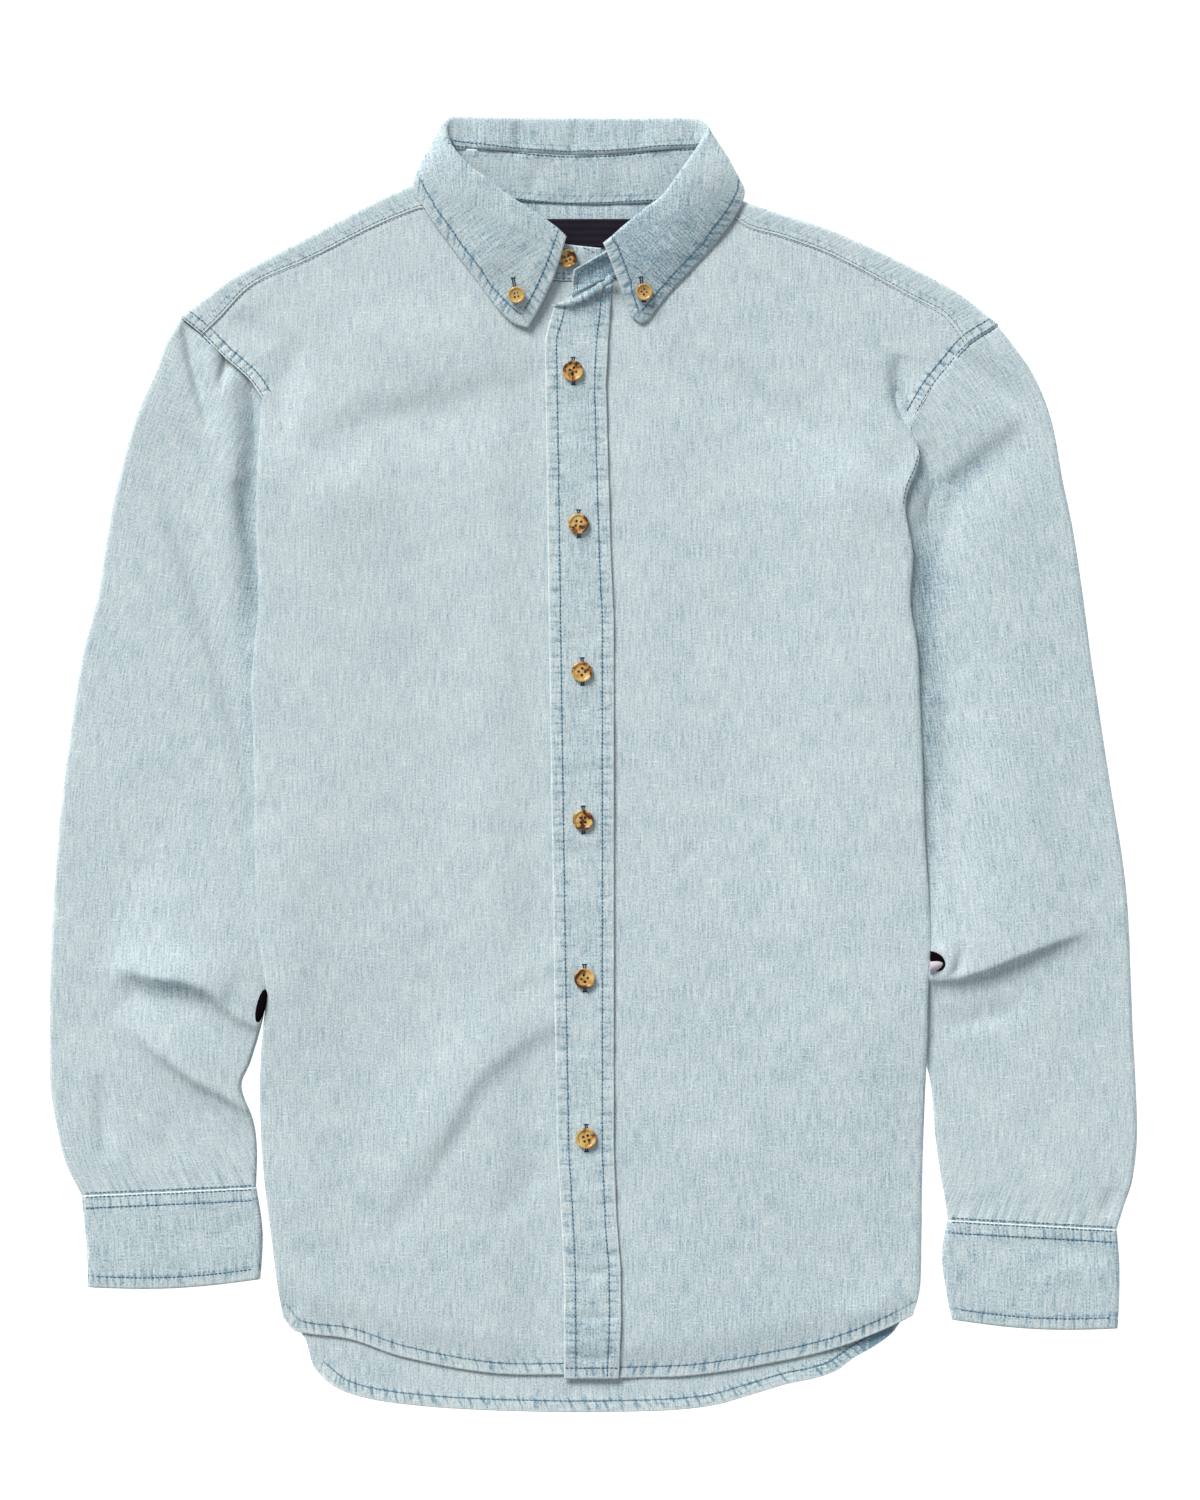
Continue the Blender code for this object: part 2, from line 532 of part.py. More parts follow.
def build_back():
    """Flat on the surface, and lifted at the sides by the sleeves under it."""
    shares = [0, 0.03, 0.065, 0.11, 0.2, 0.35, 0.5, 0.65, 0.8, 0.89, 0.935, 0.97, 1]
    right = [(row.right, row.y) for row in BODY_SIDES] + [RIGHT_ARMHOLE[0]]
    left = [(row.left, row.y) for row in BODY_SIDES] + [LEFT_ARMHOLE[0]]
    end_y = BACK_YOKE_Y - SEAM / 2
    right = along(right, even(BODY_ROWS))[:-1] + armhole_to(RIGHT_ARMHOLE, end_y, even(2))
    left = along(left, even(BODY_ROWS))[:-1] + armhole_to(LEFT_ARMHOLE, end_y, even(2))
    bottom = along(BACK_HEM, shares)
    right[0], left[0] = bottom[0], bottom[-1]
    top = [right[-1].lerp(left[-1], share) for share in shares]
    grid = coons(right, left, bottom, top, shares)
    solid = [[Vector((p.x, p.y, CLOTH / 2 + side_lift(p.x, p.y))) for p in column]
             for column in grid]
    sheet("back", solid, CLOTH, CHAMBRAY)


def shoulder_columns(table, armhole, flat_rows, fold_rows):
    """Columns of the yoke over one shoulder, from its back seam round the ridge of the
    shoulder to its front seam. The first column follows the armhole."""
    low, high = CLOTH / 2, FRONT_HEIGHT
    radius = (high - low) / 2
    start_y = BACK_YOKE_Y + SEAM / 2
    ridge_line = along([(row.ridge_x, row.ridge_y) for row in table], even(YOKE_COLUMNS))
    back_line = along([(row.back_x, start_y) for row in table], even(YOKE_COLUMNS))
    edge = shifted(yoke_seam(table), -SEAM / 2)
    result = []
    for front, top, back in zip(edge, ridge_line, back_line):
        out = (top - front).normalized()
        start = top - out * radius
        flat = [back.lerp(start, k / flat_rows) for k in range(flat_rows)]
        if not result:
            flat = armhole_from(armhole, start_y, even(flat_rows))[:-1]
        column = [Vector((place.x, place.y, low)) for place in flat]
        for k in range(fold_rows + 1):
            angle = math.pi * k / fold_rows
            place = start + out * radius * math.sin(angle)
            column.append(Vector((place.x, place.y, low + radius * (1 - math.cos(angle)))))
        for share in (0.5, 1):
            place = start.lerp(front, share)
            column.append(Vector((place.x, place.y, high)))
        result.append(column)
    return result


def build_yoke():
    """One piece: flat behind, folded over both shoulders down to the front seams."""
    flat_rows, fold_rows = 3, 4
    start_y = BACK_YOKE_Y + SEAM / 2
    right = shoulder_columns(RIGHT_SHOULDER, RIGHT_ARMHOLE, flat_rows, fold_rows)
    left = shoulder_columns(LEFT_SHOULDER, LEFT_ARMHOLE, flat_rows, fold_rows)
    neck = []
    for point in BACK_NECK:
        column = [Vector((point.x, mix(start_y, point.y, k / flat_rows), CLOTH / 2))
                  for k in range(flat_rows + 1)]
        neck.append(column + [column[-1]] * (len(right[0]) - len(column)))
    grid = right + neck + left[::-1]
    first, last = len(right) - 1, len(right) + len(neck)
    cells = set()
    for j in range(len(grid) - 1):
        for i in range(len(grid[0]) - 1):
            if i < flat_rows or not first <= j < last:
                cells.add((j, i))
    sheet("yoke", grid, CLOTH, CHAMBRAY, cells)


# Sleeves and cuffs

def flat_ring(cut, seam_line, thick, lift):
    """Points round a flat tube at one cut, each with its direction into the wall."""
    outer, inner = Vector((cut.outer_x, cut.outer_y)), Vector((cut.inner_x, cut.inner_y))
    width = (inner - outer).length
    nose = (cut.outer_high / 2, cut.inner_high / 2)
    profile = []
    for share in even(NOSE_STEPS):
        turn = math.pi * (0.5 + share)
        reach = nose[0] * (1 + math.cos(turn))
        profile.append((reach, nose[0] * (1 - math.sin(turn)),
                        Vector((-math.cos(turn), 0, math.sin(turn)))))
    for part in even(FLAT_STEPS)[1:-1]:
        crown = TUBE_CROWN * math.sin(math.pi * part)
        height = mix(cut.outer_high, cut.inner_high, part) + crown
        profile.append((mix(nose[0], width - nose[1], part), height, Vector((0, 0, -1))))
    for share in even(NOSE_STEPS):
        turn = math.pi * (0.5 - share)
        reach = width - nose[1] * (1 - math.cos(turn))
        profile.append((reach, nose[1] * (1 + math.sin(turn)),
                        Vector((-math.cos(turn), 0, -math.sin(turn)))))
    for part in even(FLAT_STEPS)[-2:0:-1]:
        hollow = TUBE_HOLLOW * math.sin(math.pi * part)
        profile.append((mix(nose[0], width - nose[1], part), hollow, Vector((0, 0, 1))))
    across = (inner - outer).normalized()
    ring = []
    for reach, height, inward in profile:
        place = outer + across * reach
        place += seam_line(reach / width)
        up = lift(place.x, place.y)
        turned = Vector((across.x * inward.x, across.y * inward.x, inward.z))
        ring.append((Vector((*place, height + up)), turned))
    return ring


def build_sleeve(name, cuts, armhole):
    """A tube from the armhole, whose curve its first cuts follow, to the cuff."""
    tip, underarm = Vector(armhole[-1]), Vector(armhole[0])
    out = Vector((tip.y - underarm.y, underarm.x - tip.x)).normalized()
    if out.y > 0:
        out = -out
    rings = []
    for k, cut in enumerate(cuts):
        follow = max(0.0, 1 - k / 3)
        apart = out * SEAM if k == 0 else Vector((0, 0))

        def seam_line(share, follow=follow, apart=apart):
            on_seam = along(armhole[::-1], [min(share, 1)])[0]
            return (on_seam - tip.lerp(underarm, share)) * follow + apart

        rings.append(flat_ring(cut, seam_line, CLOTH, partial(ridge, SLEEVE_FOLDS)))
    tube(name, rings, CLOTH, CHAMBRAY)


def build_cuff(name, cuts):
    """A flat band whose open edge bows out a little."""
    rings = []
    for k, cut in enumerate(cuts):
        bow = CUFF_BOW * max(0, k - 1) / (len(cuts) - 2)

        def bowed(share, bow=bow):
            return Vector((0, -bow * math.sin(math.pi * share)))

        rings.append(flat_ring(cut, bowed, CUFF_CLOTH, lambda x, y: 0.0))
    tube(name, rings, CUFF_CLOTH, CUFF_CHAMBRAY)


# Collar

def collar_column(row):
    """The middle of the fall from its seam with the stand, over the fold, to its edge."""
    seam = Vector((row.seam_x, row.seam_y, row.seam_z))
    fold = Vector((row.fold_x, row.fold_y, row.fold_z))
    edge = Vector((row.edge_x, row.edge_y, row.edge_z))
    up = Vector((fold.x - seam.x, fold.y - seam.y, 0)).normalized()
    outside = Vector((math.copysign(1, row.edge_x), 0, 0))
    turn = math.radians(row.turn)
    face = Vector((0, 0, math.cos(turn))) + outside * math.sin(turn)
    face = (face - up * face.dot(up)).normalized()
    radius = mix(FOLD_RADIUS, BACK_FOLD_RADIUS, row.turn / 180)
    middle = fold - up * radius
    column = [seam, seam.lerp(middle - face * radius, 0.5)]
    for k in range(5):
        angle = math.pi * k / 4
        column.append(middle - face * radius * math.cos(angle) + up * radius * math.sin(angle))
    start = column[-1]
    bulge = FALL_BULGE * (1 - row.turn / 180)
    bend = start.lerp(edge, 0.45) + face * bulge * 2
    for t in (0.33, 0.66, 1.0):
        column.append(start * (1 - t)**2 + bend * 2 * t * (1 - t) + edge * t**2)
    return column


def build_collar():
    columns = [collar_column(row) for row in COLLAR]
    sheet("collar_fall", columns, FALL_CLOTH, CHAMBRAY)
    strips = []
    for row in STAND:
        base = Vector((row.base_x, row.base_y, row.base_z))
        top = Vector((row.top_x, row.top_y, row.top_z))
        trim = (top - base).normalized() * STAND_TRIM
        strips.append([(base + trim).lerp(top - trim, k / 2) for k in range(3)])
    sheet("collar_stand", strips, CLOTH, CHAMBRAY)
    return columns


def build_label():
    """A woven label sewn on the yoke, inside the neck."""
    z = CLOTH + AIR + LABEL_CLOTH / 2
    grid = [[Vector((x, y, z)) for y in (LABEL_LOW.y, LABEL_HIGH.y)]
            for x in (LABEL_LOW.x, LABEL_HIGH.x)]
    sheet("label", grid, LABEL_CLOTH, LABEL_NAVY)


# Buttons

def button_mesh(diameter):
    """A turned button with a raised rim round a dished middle, and four holes."""
    sides, hole_sides = 16, 6
    radius, hole, pitch = diameter / 2, diameter * 0.065, diameter * 0.115
    rim, floor = radius * 0.78, radius * 0.62
    half = BUTTON_THICK / 2
    profile = [(radius * 0.72, -half), (radius, -half * 0.35), (radius, half * 0.55),
               (radius * 0.92, half), (rim, half), (floor, half * 0.3)]
    bm = bmesh.new()
    loops = []
    for r, z in profile:
        loops.append([bm.verts.new((r * math.cos(2 * math.pi * k / sides),
                                    r * math.sin(2 * math.pi * k / sides), z))
                      for k in range(sides)])
    for a, b in zip(loops, loops[1:]):
        for k in range(sides):
            n = (k + 1) % sides
            bm.faces.new((a[k], a[n], b[n], b[k]))
    caps = [[], []]
    for sx, sy in ((1, 1), (-1, 1), (-1, -1), (1, -1)):
        for end, z in ((0, -half), (1, half * 0.3)):
            caps[end].append([bm.verts.new((
                sx * pitch + hole * math.cos(2 * math.pi * k / hole_sides),
                sy * pitch + hole * math.sin(2 * math.pi * k / hole_sides), z))
                for k in range(hole_sides)])
    for low, high in zip(*caps):
        for k in range(hole_sides):
            n = (k + 1) % hole_sides
            bm.faces.new((low[n], low[k], high[k], high[n]))
    for outline, holes in ((loops[0], caps[0]), (loops[-1], caps[1])):
        rings = [outline] + holes
        edges = []
        for loop in rings:
            for k in range(len(loop)):
                pair = (loop[k], loop[(k + 1) % len(loop)])
                edges.append(bm.edges.get(pair) or bm.edges.new(pair))
        bmesh.ops.triangle_fill(bm, edges=edges, use_beauty=True)
    return bm


def build_button(name, diameter, seat, normal):
    """A button whose underside lies just above its seat, square to the cloth there."""
    bm = button_mesh(diameter)
    turn = Vector((0, 0, 1)).rotation_difference(normal).to_matrix()
    centre = seat + normal * (AIR + BUTTON_THICK / 2)
    for vert in bm.verts:
        vert.co = turn @ vert.co + centre
    finish(name, bm, HORN, 0.25)


def build_buttons(collar_columns):
    for place in FRONT_BUTTONS:
        z = left_front_height(place.x, place.y) + 1.5 * CLOTH + PLACKET_AIR
        build_button(place.name, FRONT_BUTTON, Vector((place.x, place.y, z)), Vector((0, 0, 1)))

    a, b = STAND[1], STAND[2]
    base = Vector((a.base_x, a.base_y, a.base_z))
    run = Vector((a.top_x, a.top_y, a.top_z)) - base
    across = Vector((b.base_x, b.base_y, b.base_z)) - base
    normal = across.cross(run).normalized()
    normal = normal if normal.z > 0 else -normal
    part = (BAND_BUTTON_AT.y - base.y) / run.y
    seat = base + run * part + normal * (CLOTH / 2)
    seat.x = BAND_BUTTON_AT.x
    build_button(BAND_BUTTON_AT.name, BAND_BUTTON, seat, normal)

    for place in TIP_BUTTONS:
        build_tip_button(place, collar_columns)


def build_tip_button(place, collar_columns):
    """A button on the fall, square to the square of cloth under it."""
    squares = []
    for a, b in zip(collar_columns, collar_columns[1:]):
        for i in range(FIRST_FALL_ROW, len(a) - 1):
            corners = (a[i], b[i], b[i + 1], a[i + 1])
            middle = sum(corners, Vector((0, 0, 0))) / 4
            away = (middle.xy - Vector((place.x, place.y))).length
            across = (corners[2] - corners[0]).cross(corners[3] - corners[1])
            squares.append((away, middle, across))
    middle, normal = min(squares, key=lambda square: square[0])[1:]
    normal = normal.normalized() if normal.z > 0 else -normal.normalized()
    drop = normal.x * (place.x - middle.x) + normal.y * (place.y - middle.y)
    on_fall = Vector((place.x, place.y, middle.z - drop / normal.z))
    seat = on_fall + normal * (FALL_CLOTH / 2 + TIP_AIR)
    build_button(place.name, TIP_BUTTON, seat, normal)


def main():
    for item in list(bpy.data.objects):
        bpy.data.objects.remove(item)
    build_back()
    build_yoke()
    build_fronts()
    build_placket()
    build_sleeve("sleeve_right", RIGHT_SLEEVE, RIGHT_ARMHOLE)
    build_sleeve("sleeve_left", LEFT_SLEEVE, LEFT_ARMHOLE)
    build_cuff("cuff_right", RIGHT_CUFF)
    build_cuff("cuff_left", LEFT_CUFF)
    collar_columns = build_collar()
    build_label()
    build_buttons(collar_columns)


main()
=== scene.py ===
"""The looks of a long-sleeved chambray shirt that lies flat on its back, front up.

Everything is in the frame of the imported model: +X is the wearer's left, +Y is towards the
collar and +Z is up. Sizes are in millimetres and become metres when a mesh is made.
"""
import math
from collections import namedtuple

import bmesh
import bpy
import numpy as np
from mathutils import Matrix, Vector
from mathutils.bvhtree import BVHTree


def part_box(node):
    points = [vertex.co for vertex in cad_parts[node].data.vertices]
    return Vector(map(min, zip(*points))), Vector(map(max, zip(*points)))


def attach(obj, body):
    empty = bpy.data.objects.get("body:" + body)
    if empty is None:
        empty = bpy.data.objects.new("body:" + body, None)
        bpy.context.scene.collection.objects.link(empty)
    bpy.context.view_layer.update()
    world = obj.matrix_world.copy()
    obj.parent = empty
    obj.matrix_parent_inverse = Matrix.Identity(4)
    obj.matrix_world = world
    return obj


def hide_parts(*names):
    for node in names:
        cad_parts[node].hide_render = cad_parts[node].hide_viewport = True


MM = 0.001
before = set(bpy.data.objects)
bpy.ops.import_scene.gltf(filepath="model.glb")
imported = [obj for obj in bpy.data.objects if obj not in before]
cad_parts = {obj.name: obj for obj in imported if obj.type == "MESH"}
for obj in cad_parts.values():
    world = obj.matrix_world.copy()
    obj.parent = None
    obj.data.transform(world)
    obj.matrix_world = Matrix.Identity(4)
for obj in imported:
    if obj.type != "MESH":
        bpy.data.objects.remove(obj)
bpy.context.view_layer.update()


# ---------------------------------------------------------------- the studio
# A white light table, so that no shadow falls round the shirt, under a big soft light that
# stands low beyond the collar and to the wearer's right. The camera looks straight down.

FLOOR_SIZE = 12.0          # in metres, like every size of the studio
FLOOR_GAP = 0.2 * MM
TABLE_LIGHT = 0.72
ROOM_LIGHT = 0.39
ROOM_COLOUR = (0.935, 0.968, 0.985, 1)
KEY_LIGHT = 3.68
KEY_COLOUR = (1, 0.978, 0.945)
KEY_PLACE = (-0.6, 1.6, 2.0)
KEY_TURN = (math.radians(55), 0, math.radians(211))
KEY_SOFTNESS = math.radians(28)
VIEW_HEIGHT = 0.930        # of what the camera sees of the table
VIEW_CENTRE = (4.3 * MM, 9.0 * MM)
CAMERA_HEIGHT = 3.1


def linear(hex_colour):
    """An sRGB hex colour as linear red, green, blue and alpha."""
    channels = [int(hex_colour[i:i + 2], 16) / 255 for i in (1, 3, 5)]
    return [c / 12.92 if c <= 0.04045 else ((c + 0.055) / 1.055) ** 2.4 for c in channels] + [1.0]


def new_material(name, hex_colour, roughness, **sockets):
    """A material with its Principled shader, whose own sockets hold what is even all over."""
    material = bpy.data.materials.new(name)
    material.use_nodes = True
    shader = material.node_tree.nodes["Principled BSDF"]
    shader.inputs["Base Color"].default_value = linear(hex_colour)
    shader.inputs["Roughness"].default_value = roughness
    for socket, value in sockets.items():
        shader.inputs[socket.replace("_", " ")].default_value = value
    return material


bpy.ops.object.select_all(action="DESELECT")
bpy.ops.mesh.primitive_plane_add(size=FLOOR_SIZE, location=(0, 0, -FLOOR_GAP))
floor = bpy.context.object
floor.name = "floor"
floor.data.materials.append(new_material("opal_glass_table", "#FBFBFB", 0.9,
                                         Emission_Color=(1, 1, 1, 1),
                                         Emission_Strength=TABLE_LIGHT))

world = bpy.data.worlds.new("bright_room")
bpy.context.scene.world = world
world.use_nodes = True
background = world.node_tree.nodes["Background"]
background.inputs["Color"].default_value = ROOM_COLOUR
background.inputs["Strength"].default_value = ROOM_LIGHT

bpy.ops.object.light_add(type="SUN", location=KEY_PLACE, rotation=KEY_TURN)
key_light = bpy.context.object.data
key_light.energy = KEY_LIGHT
key_light.color = KEY_COLOUR
key_light.angle = KEY_SOFTNESS

bpy.ops.object.camera_add(location=(*VIEW_CENTRE, CAMERA_HEIGHT), rotation=(0, 0, 0))
camera = bpy.context.object
camera.data.lens = camera.data.sensor_width * CAMERA_HEIGHT / VIEW_HEIGHT
bpy.context.scene.camera = camera
bpy.context.scene.view_settings.view_transform = "Standard"


# ---------------------------------------------------------------- the back
# One panel of washed cotton chambray, flat on the table except where the sleeves lie under
# its sides. Its rounded hem, longer than the fronts', is turned twice and sewn, and the
# wash has roped it.

CLOTH = 1.0                # wall of a panel: the real cloth is thinner, its seams thicker
HEM_WIDTH = 7.0
SIDE_LIFT = 7.0            # height of the sleeve that lies under a side of the body
NO_SEAM = 9.0              # how far from a seam, in its widths, a place is that none reaches
FOLD_STEPS = 24            # straight pieces in the line of a fold

Side = namedtuple("Side", "y right left")
Under = namedtuple("Under", "side sign width top foot rise_top rise_foot")
Seam = namedtuple("Seam", "line width pull slant")
Fold = namedtuple("Fold", "points high before after")

BODY_SIDES = [
    Side(-343, -192, 198), Side(-325, -195, 202), Side(-292, -199, 203),
    Side(-250, -204, 203.5), Side(-204, -206, 205), Side(-170, -204.5, 206.5),
    Side(-140, -202, 207), Side(-115, -205.5, 209), Side(-88, -208, 208),
    Side(-45, -209, 205), Side(4, -209.5, 203.5), Side(50, -211, 201.5),
    Side(75, -209, 200), Side(100, -206.5, 196), Side(130, -207.5, 197.5),
    Side(162, -208, 193), Side(190, -207, 202),
]
# How wide a strip of each side lies on a sleeve, and between which heights it rises there.
SIDES_ON_SLEEVES = [Under("right", 1, 13, 238, -190, 209, -130),
                    Under("left", -1, 17, 218, -232, 192, -168)]
RIGHT_ARMHOLE = [(-205, 227), (-213, 238.5), (-228, 252), (-242, 266), (-255.4, 277)]
LEFT_ARMHOLE = [(197.5, 211), (210, 233), (219.5, 245), (232, 259.5), (251.1, 272)]
BACK_HEM = [(-190, -343), (-179, -355), (-172, -375), (-153, -389), (-112, -397),
            (-46, -400.8), (29, -400.9), (71, -397.8), (100, -390), (118, -384.5),
            (138, -380.2), (151, -375.5), (162, -367.5), (175, -360), (185.5, -352),
            (189.5, -345), (194, -338)]
BACK_YOKE_Y = 250.0
BACK_TOP = [(-226.5, BACK_YOKE_Y), (223.5, BACK_YOKE_Y)]


def ease(low, high, value):
    """0 below low, 1 above high (or the other way round), smooth between them."""
    part = np.clip((value - low) / (high - low), 0, 1)
    return part * part * (3 - 2 * part)


def mix(a, b, part):
    """A share of the way from a to b."""
    return a + (b - a) * part


def even(steps):
    """Evenly spaced shares from 0 to 1."""
    return np.linspace(0, 1, steps + 1)


def graded(stops, steps):
    """Shares from 0 to 1 whose spacing follows stops: pairs of a share and a closeness."""
    places, closeness = zip(*stops)
    fine = even(400)
    grown = np.cumsum(np.interp(fine, places, closeness))
    return np.interp(np.linspace(grown[0], grown[-1], steps + 1), grown, fine)


def curve(points, shares):
    """Points at the given shares of the length of a smooth curve through the given ones."""
    knots = np.array(points, float)
    spans = np.diff(knots, axis=0)
    size = np.linalg.norm(spans, axis=1, keepdims=True)
    chords = np.vstack([spans[:1], knots[2:] - knots[:-2], spans[-1:]])
    reach = np.linalg.norm(chords, axis=1, keepdims=True)
    leave = chords[:-1] * size / np.maximum(reach[:-1], size)
    arrive = chords[1:] * size / np.maximum(reach[1:], size)
    t = np.linspace(0, 1, 16, endpoint=False)[:, None, None]
    fine = (knots[:-1] * (2 * t**3 - 3 * t**2 + 1) + leave * (t**3 - 2 * t**2 + t)
            + knots[1:] * (3 * t**2 - 2 * t**3) + arrive * (t**3 - t**2))
    fine = np.vstack([fine.transpose(1, 0, 2).reshape(-1, knots.shape[1]), knots[-1:]])
    run = np.append(0, np.cumsum(np.linalg.norm(np.diff(fine, axis=0), axis=1)))
    return np.stack([np.interp(np.asarray(shares) * run[-1], run, column)
                     for column in fine.T], axis=-1)


def length_of(line):
    """How long a line of points is."""
    return np.linalg.norm(np.diff(line, axis=0), axis=1).sum()


def side_line(start, column, armhole):
    """A side of the body from the end of a hem up to the underarm."""
    return [start] + [(getattr(row, column), row.y) for row in BODY_SIDES[1:]] + [armhole[0]]


def panel(left, right, bottom, top, s, t):
    """Points in plan, in columns, of a panel whose four edges are given. The side edges
    are made to meet the ends of the other two."""
    left[0], left[-1], right[0], right[-1] = bottom[0], top[0], bottom[-1], top[-1]
    s, t = s[:, None, None], t[None, :, None]
    corners = ((1 - s) * (1 - t) * bottom[0] + s * (1 - t) * bottom[-1]
               + (1 - s) * t * top[0] + s * t * top[-1])
    return ((1 - s) * left[None] + s * right[None] + (1 - t) * bottom[:, None]
            + t * top[:, None] - corners)


def nearest(x, y, line):
    """How far each place is from a line in plan, and how far along the line."""
    best, where = np.full(x.shape, np.inf), np.zeros(x.shape)
    gone = 0.0
    for (x0, y0), (x1, y1) in zip(line[:-1], line[1:]):
        size = math.hypot(x1 - x0, y1 - y0)
        way = ((x1 - x0) / size, (y1 - y0) / size)
        on = np.clip((x - x0) * way[0] + (y - y0) * way[1], 0, size)
        away = np.hypot(x - x0 - on * way[0], y - y0 - on * way[1])
        closer = away < best
        best = np.where(closer, away, best)
        where = np.where(closer, gone + on, where)
        gone += size
    return best, where


def pucker(run):
    """Height along a puckered seam, from -1 to 1. The chambray draws the same sum."""
    return (0.6 * np.sin(run + 2.1 * np.sin(0.2 * run))
            + 0.4 * np.sin(1.63 * run + 1.4 * np.sin(0.37 * run)))


def sewn(x, y, seams):
    """For each place: how far along its nearest seam, how far from it in widths of the
    seam, and how hard the seam pulls there. A seam stops square at its line's ends."""
    run, share, pull = np.zeros(x.shape), np.full(x.shape, NO_SEAM), np.zeros(x.shape)
    for seam in seams:
        away, where = nearest(x, y, seam.line)
        beside = (where > 0) & (where < length_of(seam.line))
        part = np.where(beside, away / seam.width, NO_SEAM)
        closer = part < share
        run = np.where(closer, where + seam.slant * away, run)
        pull = np.where(closer, seam.pull * ease(1.7, 0.95, part), pull)
        share = np.where(closer, part, share)
    return np.stack([run, share, pull], axis=-1)


def roped(seam, high=0.35):
    """Height that the pucker of a seam gives the cloth."""
    return high * pucker(seam[..., 0]) * seam[..., 2] * ease(0, 0.25, seam[..., 1])


def creased(folds, x, y):
    """Height that folds give the cloth: each is highest along its line, falls off over the
    width before on the line's left and after on its right, and fades at both ends."""
    total = np.zeros(x.shape)
    for fold in folds:
        line = curve(fold.points, even(FOLD_STEPS))
        away, where = nearest(x, y, line)
        length = length_of(line)
        at = np.clip(where / length * FOLD_STEPS, 0, FOLD_STEPS)
        way_x, way_y, near_x, near_y = (
            np.interp(at, np.arange(FOLD_STEPS + 1), column)
            for column in (*np.gradient(line, axis=0).T, *line.T))
        left = way_x * (y - near_y) - way_y * (x - near_x) > 0
        wide = np.where(left, fold.before, fold.after)
        along = np.sin(math.pi * np.clip(where / length, 0, 1)) ** 0.7
        total += fold.high * along * np.exp(-(away / wide) ** 2)
    return total


def rumple(x, y, size, seed):
    """Smooth uneven height from -1 to 1, with hills about size across."""
    cells = 63
    lattice = np.random.default_rng(seed).uniform(-1, 1, (cells + 1, cells + 1))
    u, v = x / size + cells / 2, y / size + cells / 2
    i, j = np.floor(u).astype(int), np.floor(v).astype(int)
    fu, fv = ease(0, 1, u - i), ease(0, 1, v - j)
    i, j = i % cells, j % cells
    low = mix(lattice[i, j], lattice[i + 1, j], fu)
    high = mix(lattice[i, j + 1], lattice[i + 1, j + 1], fu)
    return mix(low, high, fv)


def side_lift(x, y, slope):
    """Height that the sleeves give the sides of the body where they lie under it. The
    cloth slopes down from there over the given width."""
    ys = [row.y for row in BODY_SIDES]
    lifted = []
    for strip in SIDES_ON_SLEEVES:
        side_x = np.interp(y, ys, [getattr(row, strip.side) for row in BODY_SIDES])
        lifted.append(ease(strip.width + slope, strip.width, strip.sign * (x - side_x))
                      * ease(strip.top + slope / 4, strip.rise_top - slope / 3.2, y)
                      * ease(strip.foot - slope / 2, strip.rise_foot + slope / 5, y))
    return SIDE_LIFT * np.maximum(*lifted)


def add(material, kind, inputs=None, **settings):
    """Adds a node. inputs gives each socket, by name or number, a value or a link."""
    tree = material.node_tree
    made = tree.nodes.new("ShaderNode" + kind)
    for key, value in settings.items():
        setattr(made, key, value)
    for key, value in (inputs or {}).items():
        if isinstance(value, bpy.types.NodeSocket):
            tree.links.new(value, made.inputs[key])
        else:
            made.inputs[key].default_value = value
    return made


def into_shader(material, node, socket):
    """Links a node to a socket of the material's shader."""
    tree = material.node_tree
    tree.links.new(node.outputs[0], tree.nodes["Principled BSDF"].inputs[socket])


def coloured(material, value, stops):
    """Colours a material by a value, through places on a ramp and their sRGB hex colours."""
    ramp = add(material, "ValToRGB", {0: value})
    for place, _ in stops[1:-1]:
        ramp.color_ramp.elements.new(place)
    for element, (place, colour) in zip(ramp.color_ramp.elements, stops):
        element.position = place
        element.color = linear(colour)
    into_shader(material, ramp, "Base Color")


# Yarn-dyed cotton: white weft, indigo warp faded in the wash, so that the eye sees pale and
# blue upright streaks of uneven yarn, a few thick weft yarns, blue left in the dips of the
# seams and white on their ridges. The yarns are 0.3 mm apart, too fine to show, and are
# drawn at 0.9 mm. Where the wash has faded the cloth less, its yarns show more. The same
# fading value also carries painted shade, which draws the cloth darker and bluer.
chambray = new_material("washed_cotton_chambray", "#C2D2D9", 0.92, Sheen_Weight=0.12,
                        Sheen_Roughness=0.5, Specular_IOR_Level=0.2)


